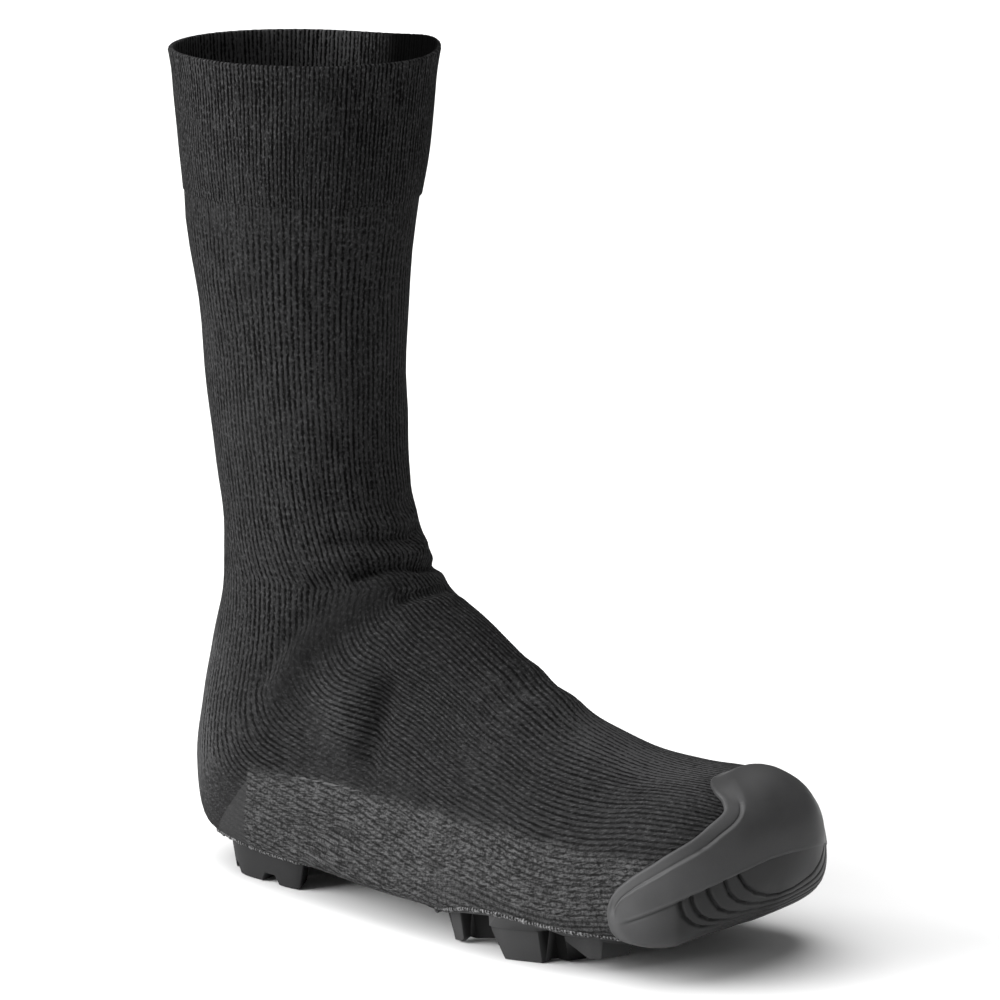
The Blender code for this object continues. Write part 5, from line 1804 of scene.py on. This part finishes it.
class OVERSHOE_OT_treads(bpy.types.Operator):
    """The treads: lofts through rings along the heel's horseshoe and the forefoot's strips, edges rounded"""

    bl_idname = "overshoe.treads"
    bl_label = "Treads"

    def execute(self, context):
        settings = context.scene.overshoe_sole
        rubber = rubber_material("tread rubber", settings.tread, TREAD_FINISH)
        # The heel's rubber is the tread's, darker as painted shade
        heel_rubber_painted_shade = rubber_material("heel rubber with painted shade", settings.heel, TREAD_FINISH)
        made = {
            "heel_cleats": ("heel_tread", heel_rings(), heel_rubber_painted_shade, True),
            "outer_lugs": ("forefoot_tread_outer", forefoot_rings(-1), rubber, True),
            "inner_lugs": ("forefoot_tread_inner", forefoot_rings(1), rubber, False),
        }
        for name, (node, rings, material, flip) in made.items():
            points, quads = closed_loft(rings, flip)
            shade = np.ones(points.shape[:2])
            # Painted shade on the strips' recessed webs and roots
            if name != "heel_cleats":
                shade[1:-1, RIM_CORNERS:] = np.array([row.shade for row in FOREFOOT_LUGS])[:, None]
            piece = new_piece(name, points, quads, material, [node],
                              marks={"shade": shade}, smooth_angle=TREAD_SMOOTH)
            bevel = piece.modifiers.new("moulded edge", "BEVEL")
            bevel.width = settings.edge
            bevel.segments = BEVEL_STEPS
            bevel.limit_method = "ANGLE"
            bevel.angle_limit = math.radians(BEVEL_ANGLE)
            bevel.use_clamp_overlap = True
        return {"FINISHED"}


def soft_sun(sun):
    """A broad, even light from a side and an elevation in degrees."""
    lamp = bpy.data.lights.new(sun.name, "SUN")
    lamp.energy = sun.strength
    lamp.angle = math.radians(sun.angle)
    item = bpy.data.objects.new(sun.name, lamp)
    x, y = sun.side
    item.rotation_euler = (math.radians(90 - sun.elevation), 0.0, math.atan2(y, x) + math.pi / 2)
    item.location = (SUN_DISTANCE * x, SUN_DISTANCE * y, SUN_DISTANCE)
    bpy.context.scene.collection.objects.link(item)


class OVERSHOE_OT_stage(bpy.types.Operator):
    """The stage: a pale floor, soft lights, and the camera at the photograph's angle"""

    bl_idname = "overshoe.stage"
    bl_label = "Stage"

    def execute(self, context):
        scene, settings = context.scene, context.scene.overshoe_stage
        side = np.array([-FLOOR_HALF, FLOOR_HALF])
        x, y = np.meshgrid(side, side)
        corners = np.stack([x, y, 0 * x + FLOOR_Z], -1).reshape(-1, 3)
        mesh = bpy.data.meshes.new("floor")
        mesh.from_pydata(corners.tolist(), [], [[0, 1, 3, 2]])
        material, tree, shader = new_material("floor paper")
        fill_sockets(tree, shader, {
            "Base Color": scaled_colour(settings.floor),
            "Roughness": FLOOR_ROUGHNESS,
            "Specular IOR Level": FLOOR_GLOSS,
        })
        mesh.materials.append(material)
        floor = bpy.data.objects.new("floor", mesh)
        scene.collection.objects.link(floor)

        world = bpy.data.worlds.new("studio")
        world.use_nodes = True
        background = world.node_tree.nodes["Background"]
        fill_sockets(world.node_tree, background, {"Color": WHITE, "Strength": WORLD_LIGHT})
        scene.world = world
        for sun in SUNS:
            soft_sun(sun)

        camera = bpy.data.cameras.new("camera")
        camera.sensor_width = CAMERA_SENSOR
        camera.lens = settings.lens
        camera.clip_end = CAMERA_REACH
        item = bpy.data.objects.new("camera", camera)
        item.location = CAMERA_PLACE
        item.rotation_euler = (math.pi / 2 - settings.pitch, 0.0, settings.yaw)
        scene.collection.objects.link(item)
        scene.camera = item
        scene.view_settings.view_transform = "Standard"
        return {"FINISHED"}


class OVERSHOE_PT_panel(bpy.types.Panel):
    """Overshoe pieces and stage"""

    bl_idname = "OVERSHOE_PT_panel"
    bl_label = "Overshoe"
    bl_space_type = "VIEW_3D"
    bl_region_type = "UI"
    bl_category = "Overshoe"

    def draw(self, context):
        for name in SETTINGS:
            group = getattr(context.scene, name)
            for key in group.__annotations__:
                self.layout.prop(group, key)
        for operator in OPERATORS:
            self.layout.operator(operator.bl_idname)


SETTINGS = {
    "overshoe_knit": KnitSettings,
    "overshoe_cap": CapSettings,
    "overshoe_sole": SoleSettings,
    "overshoe_stage": StageSettings,
}
OPERATORS = [
    OVERSHOE_OT_knit_sock,
    OVERSHOE_OT_knit_cuff,
    OVERSHOE_OT_opening_hems,
    OVERSHOE_OT_toe_cap,
    OVERSHOE_OT_sole_plate,
    OVERSHOE_OT_treads,
    OVERSHOE_OT_stage,
]


def register():
    """Registers the settings, operators and panel."""
    for name, group in SETTINGS.items():
        bpy.utils.register_class(group)
        setattr(bpy.types.Scene, name, PointerProperty(type=group))
    for item in OPERATORS + [OVERSHOE_PT_panel]:
        bpy.utils.register_class(item)


def unregister():
    """Removes what register added."""
    for item in [OVERSHOE_PT_panel] + OPERATORS[::-1]:
        bpy.utils.unregister_class(item)
    for name, group in SETTINGS.items():
        delattr(bpy.types.Scene, name)
        bpy.utils.unregister_class(group)


def main():
    register()
    bpy.ops.overshoe.knit_sock()
    bpy.ops.overshoe.knit_cuff()
    bpy.ops.overshoe.opening_hems()
    bpy.ops.overshoe.toe_cap()
    bpy.ops.overshoe.sole_plate()
    bpy.ops.overshoe.treads()
    bpy.ops.overshoe.stage()


if __name__ == "__main__":
    main()
